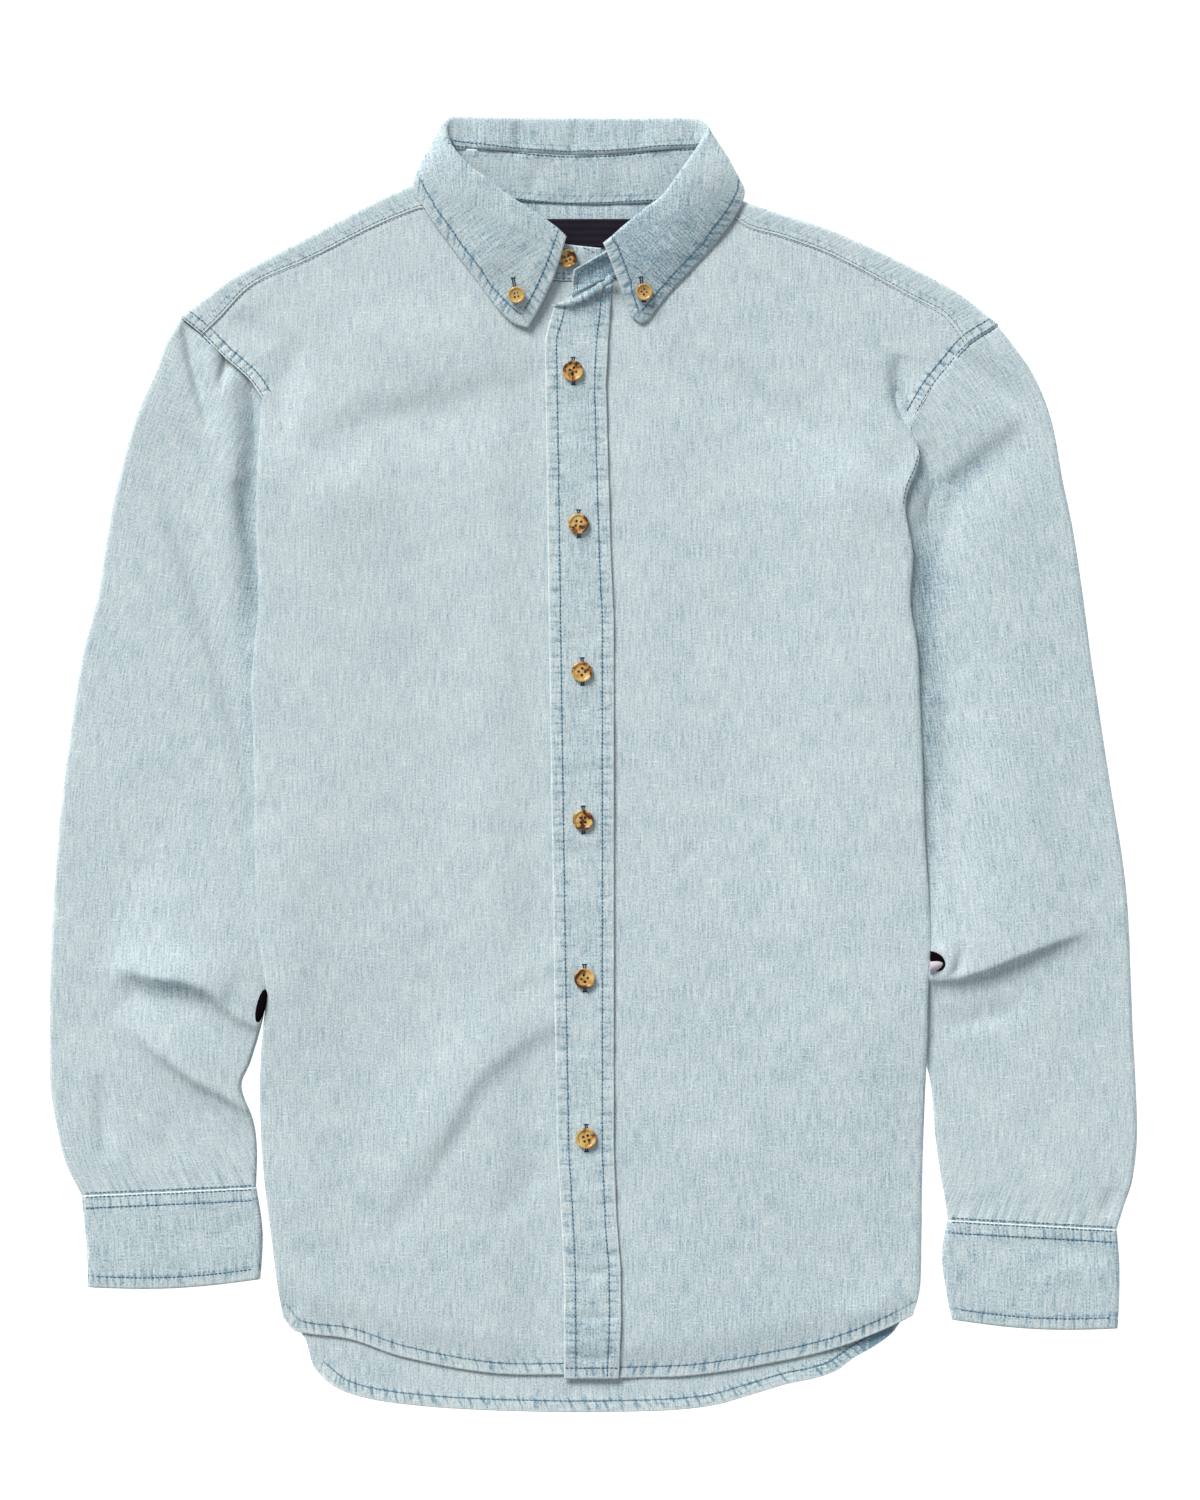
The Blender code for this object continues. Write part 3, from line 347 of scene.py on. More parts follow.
def chambray_pattern(material):
    """Draws the yarns and the worn seams by the cloth's two attributes: grain, which is its
    place across and along the warp and its fading, which in places holds painted shade, and
    seam, which is what sewn gives."""
    grain, seam = (
        add(material, "SeparateXYZ",
            {0: add(material, "Attribute", attribute_name=name).outputs["Vector"]}).outputs
        for name in ("grain", "seam"))

    def maths(operation, *values):
        """The result of one step of arithmetic in the shader."""
        return add(material, "Math", dict(enumerate(values)), operation=operation).outputs[0]

    def streaks(across, along, wide, long, detail=2.0):
        """Noise whose grains are so wide across and so long along, about 0."""
        place = add(material, "CombineXYZ", {0: maths("DIVIDE", across, wide),
                                             1: maths("DIVIDE", along, long)}).outputs[0]
        noise = add(material, "TexNoise", {"Vector": place, "Scale": 1.0, "Detail": detail},
                    noise_dimensions="2D").outputs[0]
        return maths("SUBTRACT", noise, 0.5)

    def yarns(wide, long, detail=2.0):
        """Streaks that run along the cloth's grain."""
        return streaks(grain[0], grain[1], wide, long, detail)

    def graph(value, low, high, start, end):
        """The value's place between low and high, as a smooth step from start to end."""
        return add(material, "MapRange", {0: value, 1: low, 2: high, 3: start, 4: end},
                   interpolation_type="SMOOTHSTEP").outputs[0]

    warp = yarns(0.95, 13.0, 1.0)
    slubs = yarns(1.8, 34.0, 1.0)
    weave = yarns(1.1, 1.1, 1.0)
    weft = yarns(12.0, 0.8, 1.0)
    # Fine creases across the warp, only where the fading value is lowest: on the least faded
    # cloth, and in the painted shade.
    creases = maths("MULTIPLY", graph(yarns(11.0, 1.9), 0.06, 0.28, 0.0, 0.16),
                    graph(grain[2], -0.08, -0.068, 1.0, 0.0))
    cloud = yarns(26.0, 34.0, 3.0)
    tone = maths("MULTIPLY", warp, 0.54)
    tone = maths("MULTIPLY_ADD", slubs, 0.1, tone)
    tone = maths("MULTIPLY_ADD", weave, 0.68, tone)
    tone = maths("ADD", tone, graph(weft, 0.15, 0.3, 0.0, 0.24))
    tone = maths("MULTIPLY_ADD", cloud, 0.17, tone)
    tone = maths("MULTIPLY", tone, maths("MULTIPLY_ADD", grain[2], -1.9, 1.0))
    tone = maths("ADD", tone, maths("SUBTRACT", 0.47, creases))
    tone = maths("ADD", tone, grain[2])

    def wave(quick, bend, slow):
        """sin(quick * run + bend * sin(slow * run)), as in pucker."""
        drift = maths("MULTIPLY", maths("SINE", maths("MULTIPLY", seam[0], slow)), bend)
        return maths("SINE", maths("MULTIPLY_ADD", seam[0], quick, drift))

    ridges = maths("MULTIPLY_ADD", wave(1.63, 1.4, 0.37), 0.4,
                   maths("MULTIPLY", wave(1.0, 2.1, 0.2), 0.6))
    # Blue bars in the dips of the pucker, a white line where the folded edge is worn, and a
    # blue groove under the stitches, one width in from the edge.
    uneven = maths("MULTIPLY", streaks(seam[0], seam[1], 2.9, 1.0), 3.0)
    dips = graph(maths("MULTIPLY_ADD", ridges, -0.8, uneven), -0.05, 0.8, 0.0, 0.5)
    blue = maths("MULTIPLY", dips, graph(seam[1], 0.05, 0.6, 0.4, 1.0))
    tone = maths("MULTIPLY_ADD", maths("SUBTRACT", 0.11, blue), seam[2], tone)
    worn_edge = graph(seam[1], 0.05, 0.2, 0.25, 0.0)
    groove = maths("MULTIPLY", graph(maths("ABSOLUTE", maths("SUBTRACT", seam[1], 1.0)),
                                     0.02, 0.16, 0.36, 0.0), seam[2])
    tone = maths("SUBTRACT", maths("ADD", tone, worn_edge), groove)
    coloured(material, tone, [(0.0, "#7495A8"), (0.22, "#A0B6BF"), (0.42, "#BCCBD1"),
                              (0.58, "#C9D6DA"), (0.78, "#DBE3E4"), (1.0, "#EEF1EE")])

    crinkle = maths("MULTIPLY", yarns(3.6, 6.5, 3.0), 0.5)
    threads = maths("MULTIPLY_ADD", warp, 0.2, maths("MULTIPLY", weave, 0.25))
    relief = {"Strength": 0.35, "Distance": MM, "Height": maths("ADD", crinkle, threads)}
    into_shader(material, add(material, "Bump", relief), "Normal")


chambray_pattern(chambray)


def unit(vectors):
    """The same vectors at a length of one."""
    return vectors / np.maximum(np.linalg.norm(vectors, axis=-1, keepdims=True), 1e-9)


def in_scene(name, mesh):
    """A new object with this mesh, linked to the scene."""
    made = bpy.data.objects.new(name, mesh)
    bpy.context.scene.collection.objects.link(made)
    return made


def wall_of_cloth(name, grid, grain, seam, wall=CLOTH, cells=None, wrap=False):
    """A closed wall of chambray round a middle surface, which is given in columns of points
    from left to right and bottom to top as seen from outside. cells says which squares of
    the grid are cloth, and wrap joins the last column to the first."""
    columns, rows = grid.shape[:2]
    count = columns * rows
    number = np.arange(count).reshape(columns, rows)
    if wrap:
        number = np.vstack([number, number[:1]])
    corners = np.stack([number[:-1, :-1], number[1:, :-1], number[1:, 1:], number[:-1, 1:]], -1)
    cells = np.ones(corners.shape[:2], bool) if cells is None else cells
    points = grid.reshape(-1, 3)
    square = points[corners[cells]]
    facing = unit(np.cross(square[:, 2] - square[:, 0], square[:, 3] - square[:, 1]))
    normal = np.zeros_like(points)
    for k in range(4):
        np.add.at(normal, corners[cells][:, k], facing)
    normal = unit(normal)
    places = np.vstack([points + normal * wall / 2, points - normal * wall / 2])
    faces = [corners[cells], corners[cells][:, ::-1] + count]
    padded = np.pad(cells, 1)
    if wrap:
        padded[0], padded[-1] = padded[-2], padded[1]
    beyond = (padded[1:-1, :-2], padded[2:, 1:-1], padded[1:-1, 2:], padded[:-2, 1:-1])
    for k in range(4):
        rim = corners[cells & ~beyond[k]]
        start, end = rim[:, k], rim[:, (k + 1) % 4]
        faces.append(np.stack([end, start, start + count, end + count], -1))
    faces = np.vstack(faces)
    used, faces = np.unique(faces, return_inverse=True)
    faces = faces.reshape(-1, 4)
    mesh = bpy.data.meshes.new(name)
    mesh.from_pydata((places[used] * MM).tolist(), [], faces.tolist())
    for key, values in (("grain", grain), ("seam", seam)):
        both = np.vstack([values.reshape(-1, 3)] * 2)[used]
        mesh.attributes.new(key, "FLOAT_VECTOR", "POINT").data.foreach_set(
            "vector", both.astype(np.float32).ravel())
    mesh.materials.append(chambray)
    mesh.shade_smooth()
    return in_scene(name, mesh)


def worn(made, node=None):
    """Puts a piece on the shirt, in the place of a node where one is named."""
    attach(made, "root")
    if node:
        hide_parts(node)
    return made


def cloth(name, *shape, slot="chambray", **kind):
    """A wall of cloth in place of the node that has its name."""
    return worn(wall_of_cloth(name, *shape, **kind), name.replace("_cloth", ""))


def upright(x, y, fading, offset):
    """The grain of a panel whose warp runs up the body. Each panel has its own offset, so
    that its streaks don't carry on across a seam."""
    return np.stack([x + offset, y + offset, np.zeros(x.shape) + fading], axis=-1)


s = graded([(0, 3), (0.03, 3), (0.1, 1), (0.9, 1), (0.97, 3), (1, 3)], 150)
t = graded([(0, 5), (0.02, 5), (0.05, 1), (1, 1)], 190)
right_side = curve(side_line(BACK_HEM[0], "right", RIGHT_ARMHOLE) + BACK_TOP[:1], t)
left_side = curve(side_line(BACK_HEM[-1], "left", LEFT_ARMHOLE) + BACK_TOP[1:], t)
plan = panel(right_side, left_side, curve(BACK_HEM, s), curve(BACK_TOP, s), s, t)
x, y = plan[..., 0], plan[..., 1]
seam = sewn(x, y, [Seam(curve(BACK_HEM[2:], even(90)), HEM_WIDTH, 0.85, 0.4)])
z = CLOTH / 2 + side_lift(x, y, 27) + np.maximum(roped(seam, 0.5), 0)
# The hem's left corner is drawn darker: partly its frayed seam, partly painted shadow of the
# front.
fading = (-0.055 - 0.15 * ease(125, 170, x) * ease(-335, -350, y)
          - 0.5 * ease(154, 180, x) * ease(-338, -350, y))
back = cloth("back_cloth", np.stack([x, y, z], -1), upright(x, y, fading, 500), seam)


# ---------------------------------------------------------------- the yoke
# One piece that lies flat behind the neck and folds forward over both shoulders. Each front
# is sewn under its front edge with two close rows of stitches.

FRONT_HEIGHT = 4.9         # middle of a front's wall over what the shirt lies on
YOKE_LAP = 0.3             # how much the yoke stands over the seams that it covers
YOKE_SEAM_WIDTH = 5.0
ARMHOLE_SEAM_WIDTH = 6.5
YOKE_LEAN = (math.radians(24), math.radians(-62))      # of its warp on each shoulder's front

Shoulder = namedtuple("Shoulder", "front_x front_y ridge_x ridge_y back_x")

RIGHT_SHOULDER = [
    Shoulder(-242, 266, -255.4, 277, -226.5), Shoulder(-231, 277, -243, 286.5, -214),
    Shoulder(-211, 297, -221, 302.5, -197), Shoulder(-176, 313, -183, 323, -171),
    Shoulder(-136, 333, -142, 344.5, -138), Shoulder(-109, 344, -112, 358.5, -109),
    Shoulder(-100, 345, -104, 357.5, -98),
]
LEFT_SHOULDER = [
    Shoulder(232, 259.5, 251.1, 272, 223.5), Shoulder(218, 278, 227, 291, 208),
    Shoulder(198, 289, 205, 303.5, 193), Shoulder(149, 315, 152, 329, 150),
    Shoulder(117, 327, 119, 340, 118), Shoulder(96, 333, 99, 346.5, 98),
    Shoulder(84, 342, 87, 350.5, 84),
]
BACK_NECK = [(-92, 355.5), (-50, 351), (-8, 348.4), (38, 349.6), (76, 353.5)]
RIGHT_YOKE_SEAM = curve([(row.front_x, row.front_y) for row in RIGHT_SHOULDER], even(60))
LEFT_YOKE_SEAM = curve([(row.front_x, row.front_y) for row in LEFT_SHOULDER], even(60))


def above(line, low_y):
    """The part of an armhole that is higher up than low_y."""
    fine = curve(line, even(120))
    return fine[fine[:, 1] >= low_y]


def shoulder(table, armhole, shares, flat, fold, front):
    """Columns over one shoulder, from the back seam round the ridge to the front seam. The
    first few bend to the armhole, which is their edge."""
    edge = curve([(row.front_x, row.front_y) for row in table], shares)
    ridge = curve([(row.ridge_x, row.ridge_y) for row in table], shares)
    start = curve([(row.back_x, BACK_YOKE_Y) for row in table], shares)
    low, high = CLOTH / 2, FRONT_HEIGHT + YOKE_LAP
    radius = (high - low) / 2
    out = unit(ridge - edge)
    turn = ridge - out * radius
    straight = mix(start[:, None], turn[:, None], flat[None, :, None])
    bend = curve(np.vstack([above(armhole, BACK_YOKE_Y)[:-1], turn[:1]]), flat) - straight[0]
    plan = [straight + bend[None] * np.clip(1 - 6 * shares, 0, 1)[:, None, None]]
    height = [np.full(plan[0].shape[:2], low)]
    angle = math.pi * fold[1:]
    plan.append(turn[:, None] + out[:, None] * radius * np.sin(angle)[None, :, None])
    height.append(np.tile(low + radius * (1 - np.cos(angle)), (len(shares), 1)))
    plan.append(mix(turn[:, None], edge[:, None], front[None, 1:, None]))
    height.append(np.full(plan[2].shape[:2], high))
    return np.concatenate([np.concatenate(plan, 1), np.concatenate(height, 1)[..., None]], -1)


flat, fold, front = even(28), even(8), graded([(0, 1), (0.8, 1), (1, 6)], 14)
right_part = shoulder(RIGHT_SHOULDER, RIGHT_ARMHOLE, even(84), flat, fold, front)
left_part = shoulder(LEFT_SHOULDER, LEFT_ARMHOLE, even(84), flat, fold, front)
neck = curve(BACK_NECK, even(60))
neck_part = np.zeros((len(neck), right_part.shape[1], 3))
neck_part[..., 0] = neck[:, :1]
neck_part[:, :len(flat), 1] = mix(BACK_YOKE_Y, neck[:, 1:], flat)
neck_part[:, len(flat):, 1] = neck[:, 1:]
neck_part[..., 2] = CLOTH / 2
grid = np.concatenate([right_part, neck_part, left_part[::-1]])
cells = np.ones((len(grid) - 1, grid.shape[1] - 1), bool)      # behind the neck it is flat
cells[len(right_part) - 1:len(right_part) + len(neck_part), len(flat) - 1:] = False
x, y = grid[..., 0], grid[..., 1]
on_front = (np.arange(grid.shape[1]) >= len(flat) + len(fold) // 2)[None, :] & (y > 0)
seam = sewn(x, y, [Seam(RIGHT_YOKE_SEAM, YOKE_SEAM_WIDTH, 0.4, 0.5),
                   Seam(LEFT_YOKE_SEAM, YOKE_SEAM_WIDTH, 0.4, -0.5),
                   Seam(curve(RIGHT_ARMHOLE, even(40)), ARMHOLE_SEAM_WIDTH, 0.7, 0),
                   Seam(curve(LEFT_ARMHOLE, even(40)), ARMHOLE_SEAM_WIDTH, 0.7, 0)])
seam[..., 2] = np.where(on_front, seam[..., 2], 0)
seam[..., 1] = np.where(on_front, seam[..., 1], NO_SEAM)
lean = np.where(x < 0, *YOKE_LEAN) * on_front
# Where the yoke lies flat at the back, seen only inside the neck, it is drawn darker: painted
# shade of the hollow under the collar.
grain = np.stack([x * np.cos(lean) + y * np.sin(lean), y * np.cos(lean) - x * np.sin(lean),
                  np.where(on_front, -0.04, -0.14)], -1)
grid[..., 2] += np.where(on_front, roped(seam, 0.3), 0)
yoke = cloth("yoke_cloth", grid, grain, seam, cells=cells)


# ---------------------------------------------------------------- the fronts
# Two panels cut from the hem to the yoke. They lie on the back, turn down to it at the
# sides, and the wearer's left one laps over the right one under the placket.

LOWEST = 2.1               # middle of a front's wall where it lies on the back
OVER_RIGHT = 4.5           # and of the left front's where it lies on the right one
HEM_FADE = 26.0            # length over which the fronts come down to the back at the hem
EDGE_RADIUS = 3.6          # of the turned-down side of a front
FRONT_SLOPE = 110.0        # width over which a front comes down beside a sleeve
UNDERLAP_X = 8.0

RIGHT_HEM = [(-192, -343), (-184, -351), (-151, -356), (-118, -367), (-64, -377),
             (-18, -378), (UNDERLAP_X, -377)]
LEFT_HEM = [(198, -341), (182, -349), (152, -361), (120, -369), (67, -378), (29, -380),
            (-16, -380)]
RIGHT_NECKLINE = [(-100, 345), (-86, 331), (-68, 319), (-51, 309), (-34, 302), (-18, 299),
                  (UNDERLAP_X, 299)]
LEFT_NECKLINE = [(84, 342), (70, 330), (60, 319), (46, 311), (33, 303), (20, 301),
                 (12.4, 301.5), (-13.6, 290)]
Band = namedtuple("Band", "y free seam")
PLACKET = [
    Band(-380, -18, 16), Band(-345, -18, 17.4), Band(-312, -18.3, 17.2),
    Band(-283, -19.6, 14.8), Band(-239, -22.3, 13), Band(-133, -24.2, 13),
    Band(90, -27.5, 13), Band(127, -28, 11.2), Band(235, -29.5, 8.1), Band(263, -30, 9.5),
    Band(284, -24, 12),
]
FRONT_FOLDS = [
    Fold([(-118, -282), (-103, -246), (-87.5, -217), (-74, -193), (-52, -175), (-25, -157.5),
          (-6, -149)], 3.4, 26, 8),
    Fold([(-66, -142), (-46, -131), (-24, -121), (-10, -118)], 1.0, 12, 7),
    Fold([(-128, -300), (-104, -256), (-80, -222)], -1.4, 9, 8),
    Fold([(-64, -288), (-46, -268), (-30, -250)], -1.2, 12, 7),
    Fold([(-186, -60), (-166, -120), (-140, -176), (-128, -214)], -1.8, 26, 30),
    Fold([(-196, -26), (-186, -80), (-182, -150)], 1.5, 16, 16),
    Fold([(-180, 266), (-192, 232), (-194, 190)], -2.2, 9, 13),
    Fold([(189, 254), (187.6, 243), (187.6, 232), (190, 222), (194.5, 213), (200, 204),
          (207, 190)], -4.6, 9, 4),
    Fold([(187.5, 234), (189.5, 224), (193.5, 215), (198, 207)], -2.2, 4, 2.6),
    Fold([(-220, 280), (-207, 269), (-199, 258)], -1.6, 7, 8),
    Fold([(-190, 190), (-130, 212), (-80, 224), (-24, 242)], -3.0, 13, 26),
    Fold([(-184, 150), (-156, 166), (-120, 176)], 1.8, 18, 24),
    Fold([(-160, 268), (-110, 262), (-64, 268)], 1.3, 20, 22),
    Fold([(50, 262), (96, 228), (140, 206), (170, 200)], -1.9, 13, 18),
    Fold([(206, 196), (190, 190), (176, 170)], -1.6, 12, 14),
    Fold([(150, -352), (176, -342), (197, -328)], 2.4, 10, 16),
    Fold([(140, 166), (164, 172), (180, 150)], 1.4, 20, 26),
    Fold([(40, 100), (80, 86), (130, 96)], -0.7, 20, 20),
    Fold([(60, -60), (110, -96), (160, -80)], 0.8, 28, 26),
    Fold([(50, -200), (86, -250), (130, -300)], 0.9, 26, 26),
    Fold([(-130, 20), (-90, 6), (-50, 24)], -0.7, 22, 22),
    Fold([(-196, -206), (-176, -250), (-170, -300)], 1.2, 16, 20),
]
# Painted shade in the left front's crease under the armhole: darker, bluer cloth.
FRONT_CREASE_SHADE = Fold([(186, 247), (186.5, 234), (189, 224), (195, 213), (203, 198)], -0.14, 5, 4)


def placket_edge(column, y):
    """Where the placket's free edge or its seam is at the given heights."""
    return np.interp(y, [row.y for row in PLACKET], [getattr(row, column) for row in PLACKET])


def front_height(x, y, hem, at_hem, full):
    """Middle height of a front, from its height at the hem and its full height above that."""
    fade = ease(0, HEM_FADE, nearest(x, y, curve(hem, even(24)))[0])
    return (0.75 * side_lift(x, y, FRONT_SLOPE) + mix(at_hem, full, fade)
            + creased(FRONT_FOLDS, x, y) * fade)


def right_height(x, y):
    """Middle height of the right front, which comes down under the placket."""
    under_placket = LOWEST + 0.3 - 1.1 * ease(-360, -378, y)
    full = mix(under_placket, FRONT_HEIGHT, ease(-32, -66, x))
    return front_height(x, y, RIGHT_HEM, LOWEST, full)


def left_height(x, y):
    """Middle height of the left front, which lies on the right one near the placket. Its
    neck corner and its hem curl a little."""
    full = mix(OVER_RIGHT, FRONT_HEIGHT, ease(12, 50, x))
    at_hem = mix(OVER_RIGHT, LOWEST, ease(12, 40, x))
    neck_curl = 1.2 * ease(276, 292, y) * ease(22, -4, x)
    hem_curl = (2.2 * ease(132, 188, x) * ease(-310, -345, y)
                - 1.7 * ease(-360, -380, y) * ease(50, 20, x))
    return front_height(x, y, LEFT_HEM, at_hem, full) + neck_curl + hem_curl


def run_on(line):
    """The line, with a stretch before its start that carries straight on."""
    return np.vstack([2 * line[0] - line[2], line])


def front_panel(name, column, armhole, centre_x, centre_ys, hem, yoke_seam, neckline, height,
                droop, seed):
    """One front. Its side and armhole make one of its long edges, with the underarm at a
    share of it, and its yoke seam and neckline make its top, with the collar's corner at a
    share of it. Its side droops by a share of a full turn down to the back."""
    sides, armhole = side_line(hem[0], column, armhole), armhole[:4]
    underarm, corner = 0.86, 0.5
    s = graded([(0, 4.5), (0.02, 4.5), (0.05, 1), (0.92, 1), (1, 0.6)], 128)
    t = graded([(0, 2.4), (0.03, 2), (0.06, 1), (0.84, 1), (0.9, 1.3), (1, 1.8)], 300)
    side = np.vstack([curve(sides, t[t <= underarm] / underarm),
                      curve(armhole, (t[t > underarm] - underarm) / (1 - underarm))])
    centre_y = np.interp(t, [0, underarm, 1], centre_ys)
    centre = np.stack([centre_x(centre_y), centre_y], -1)
    bottom = curve(hem, s)
    top = np.vstack([curve(yoke_seam, s[s <= corner] / corner),
                     curve(neckline, (s[s > corner] - corner) / (1 - corner))])
    plan = panel(side, centre, bottom, top, s, t)
    x, y = plan[..., 0], plan[..., 1]
    seam = sewn(x, y, [Seam(run_on(curve(hem, even(60))), HEM_WIDTH, 0.8, 0.4),
                       Seam(curve(armhole, even(24)), ARMHOLE_SEAM_WIDTH, 0.9, 0),
                       Seam(yoke_seam, YOKE_SEAM_WIDTH, 0.15, 0)])
    from_side = nearest(x, y, curve(sides, even(80)))[0]
    from_hem = nearest(x, y, curve(hem, even(24)))[0]
    from_yoke = nearest(x, y, yoke_seam)[0]
    turned = ease(0, HEM_FADE, from_hem) ** 2 * ease(232, 214, y) * droop
    gone = np.clip(EDGE_RADIUS - from_side, 0, EDGE_RADIUS)
    drop = EDGE_RADIUS - np.sqrt(EDGE_RADIUS ** 2 - gone ** 2)
    uneven = 0.35 * rumple(x, y, 42, seed) + 0.14 * rumple(x, y, 13, seed + 1)
    z = (height(x, y) - drop * turned + roped(seam, 0.4) + uneven * ease(4, 30, from_hem)
         - 0.15 * ease(4, 0, from_yoke))
    # The cloth is drawn darker towards the hem and towards the left side, with painted shade in
    # the crease under the left armhole.
    fading = (-0.04 * ease(60, -330, y) - 0.03 * ease(-40, 60, x)
              + creased([FRONT_CREASE_SHADE], x, y))
    return cloth(name, np.stack([x, y, z], -1), upright(x, y, fading, seed * 97), seam)


front_right = front_panel(
    "front_right_cloth", "right", RIGHT_ARMHOLE, lambda y: np.full(y.shape, UNDERLAP_X),
    (-377, 231, 299), RIGHT_HEM, RIGHT_YOKE_SEAM, RIGHT_NECKLINE, right_height, 0.2, 3)
front_left = front_panel(
    "front_left_cloth", "left", LEFT_ARMHOLE, lambda y: placket_edge("free", y) + 1.5,
    (-380, 222, 284.5), LEFT_HEM, LEFT_YOKE_SEAM, LEFT_NECKLINE + [(-22.2, 284.5)],
    left_height, 0.5, 5)


# ---------------------------------------------------------------- the placket
# A band folded double and sewn on the left front, with a row of stitches 7 mm inside each
# of its edges.

PLACKET_ENDS = (-380.5, 284)
PLACKET_RISE = 1.9         # how far its middle lies over the left front's
PLACKET_SEAM_WIDTH = 7.3
PLACKET_SLANT = 13.0       # how much higher its top end is at the sewn edge
PLACKET_FOLDS = [
    Fold([(-15, -313), (0, -314.5), (15, -312)], -0.9, 3, 2.2),
    Fold([(-13, -341), (2, -342.5), (15, -340)], -0.8, 3, 2.2),
    Fold([(-15, -364), (-4, -368), (13, -367)], -0.9, 3, 2.2),
]

across, along = even(36), even(440)
y = mix(*PLACKET_ENDS, along)[None, :] + 0 * across[:, None]
x = mix(placket_edge("free", y), placket_edge("seam", y), across[:, None])
y = y + PLACKET_SLANT * across[:, None] * ease(258, 284, y)
ends = np.linspace(-382, 288, 90)
seam = sewn(x, y, [
    *(Seam(np.stack([placket_edge(edge, ends), ends], -1), PLACKET_SEAM_WIDTH, 0.5, 0)
      for edge in ("free", "seam")),
    Seam(np.array([(-19.0, PLACKET_ENDS[0]), (17.0, PLACKET_ENDS[0])]), HEM_WIDTH, 0.7, 0)])
rise = PLACKET_RISE - 1.6 * ease(280, 298, y) - 0.7 * ease(-360, -381, y)
z = (left_height(x, y) + rise + roped(seam, 0.25)
     + 0.45 * rumple(x * 0.4, y, 10, 8) + 0.2 * rumple(x, y * 2, 9, 9)
     + creased(PLACKET_FOLDS, x, y))
# The placket is drawn a little bluer than the fronts and darker towards its bottom end; its top,
# under the collar's curled end, is darker with painted shade.
fading = -0.075 - 0.14 * ease(262, 280, y) * ease(-18, 4, x) - 0.05 * ease(-325, -345, y)
placket = cloth("placket_cloth", np.stack([x, y, z], -1), upright(x, y, fading, 900), seam)


# ---------------------------------------------------------------- the sleeves
# Each is one panel sewn into a tube, set into the armhole under a felled seam and gathered
# a little into the cuff. They lie flat, with the hollow of the elbow in deep folds.

SLEEVE_TUCK = 2.0          # how far a sleeve runs in under its armhole seam
CUFF_GATHER_WIDTH = 21.6

Cut = namedtuple("Cut", "outer_x outer_y inner_x inner_y outer_high inner_high")
RIGHT_SLEEVE = [
    Cut(-255.4, 277, -205, 227, 5.4, 4.4), Cut(-264, 263, -205.4, 216, 5.6, 4.6),
    Cut(-272, 242, -201, 202, 5.8, 4.8), Cut(-284, 213, -197, 182, 6, 5),
    Cut(-296, 168, -196, 150, 6, 5), Cut(-301, 141, -196, 124, 6, 5.2),
    Cut(-307.5, 102, -196, 88, 6, 5.4), Cut(-316, 69, -198, 58, 6, 5.4),
    Cut(-323, 25, -199, 18, 6, 5.4), Cut(-329.5, -25, -198, -28, 6, 5.4),
    Cut(-333, -65, -197, -65, 6, 5.4), Cut(-335.2, -98, -197, -96, 6, 5.4),
    Cut(-336, -121, -198, -117, 6, 5.2), Cut(-336.8, -145, -201.6, -142, 6, 5),
    Cut(-337, -166, -204.9, -160, 6, 5), Cut(-336.8, -185, -212, -184, 6, 5),
    Cut(-336, -202, -217.5, -199, 6, 5), Cut(-332, -226, -210.5, -220, 5.8, 5),
    Cut(-327, -246, -208.2, -238, 5.6, 5), Cut(-317, -266.6, -208.7, -261.6, 5.4, 5),
]
LEFT_SLEEVE = [
    Cut(251.1, 272, 197.5, 211, 5.8, 4.8), Cut(262, 258, 198.8, 200, 5.9, 5),
    Cut(274, 240, 190, 183, 5.8, 5), Cut(284, 213, 184, 166, 6, 5.2),
    Cut(291, 176, 182, 142, 6, 5.2), Cut(297, 147, 184, 118, 6, 5.4),
    Cut(303, 108, 186, 88, 6, 5.4), Cut(308, 70, 189, 56, 6, 5.4),
    Cut(315, 23, 192, 15, 6, 5.4), Cut(320.5, -13, 194, -18, 6, 5.4),
    Cut(327, -52, 196, -55, 6, 5.4), Cut(330.5, -80, 198, -84, 6, 5.4),
    Cut(332.3, -109, 199, -112, 6, 5.4), Cut(333.2, -135, 199, -138, 6, 5.4),
    Cut(334.4, -165, 201, -166, 6, 5.2), Cut(336, -195, 208.8, -196, 6, 5),
    Cut(337, -230, 212, -232, 6, 5), Cut(334, -258, 215.5, -256, 5.8, 5),
    Cut(329, -273, 218, -270, 5.6, 5), Cut(324.4, -287.6, 219.4, -281.6, 5.4, 5),
]
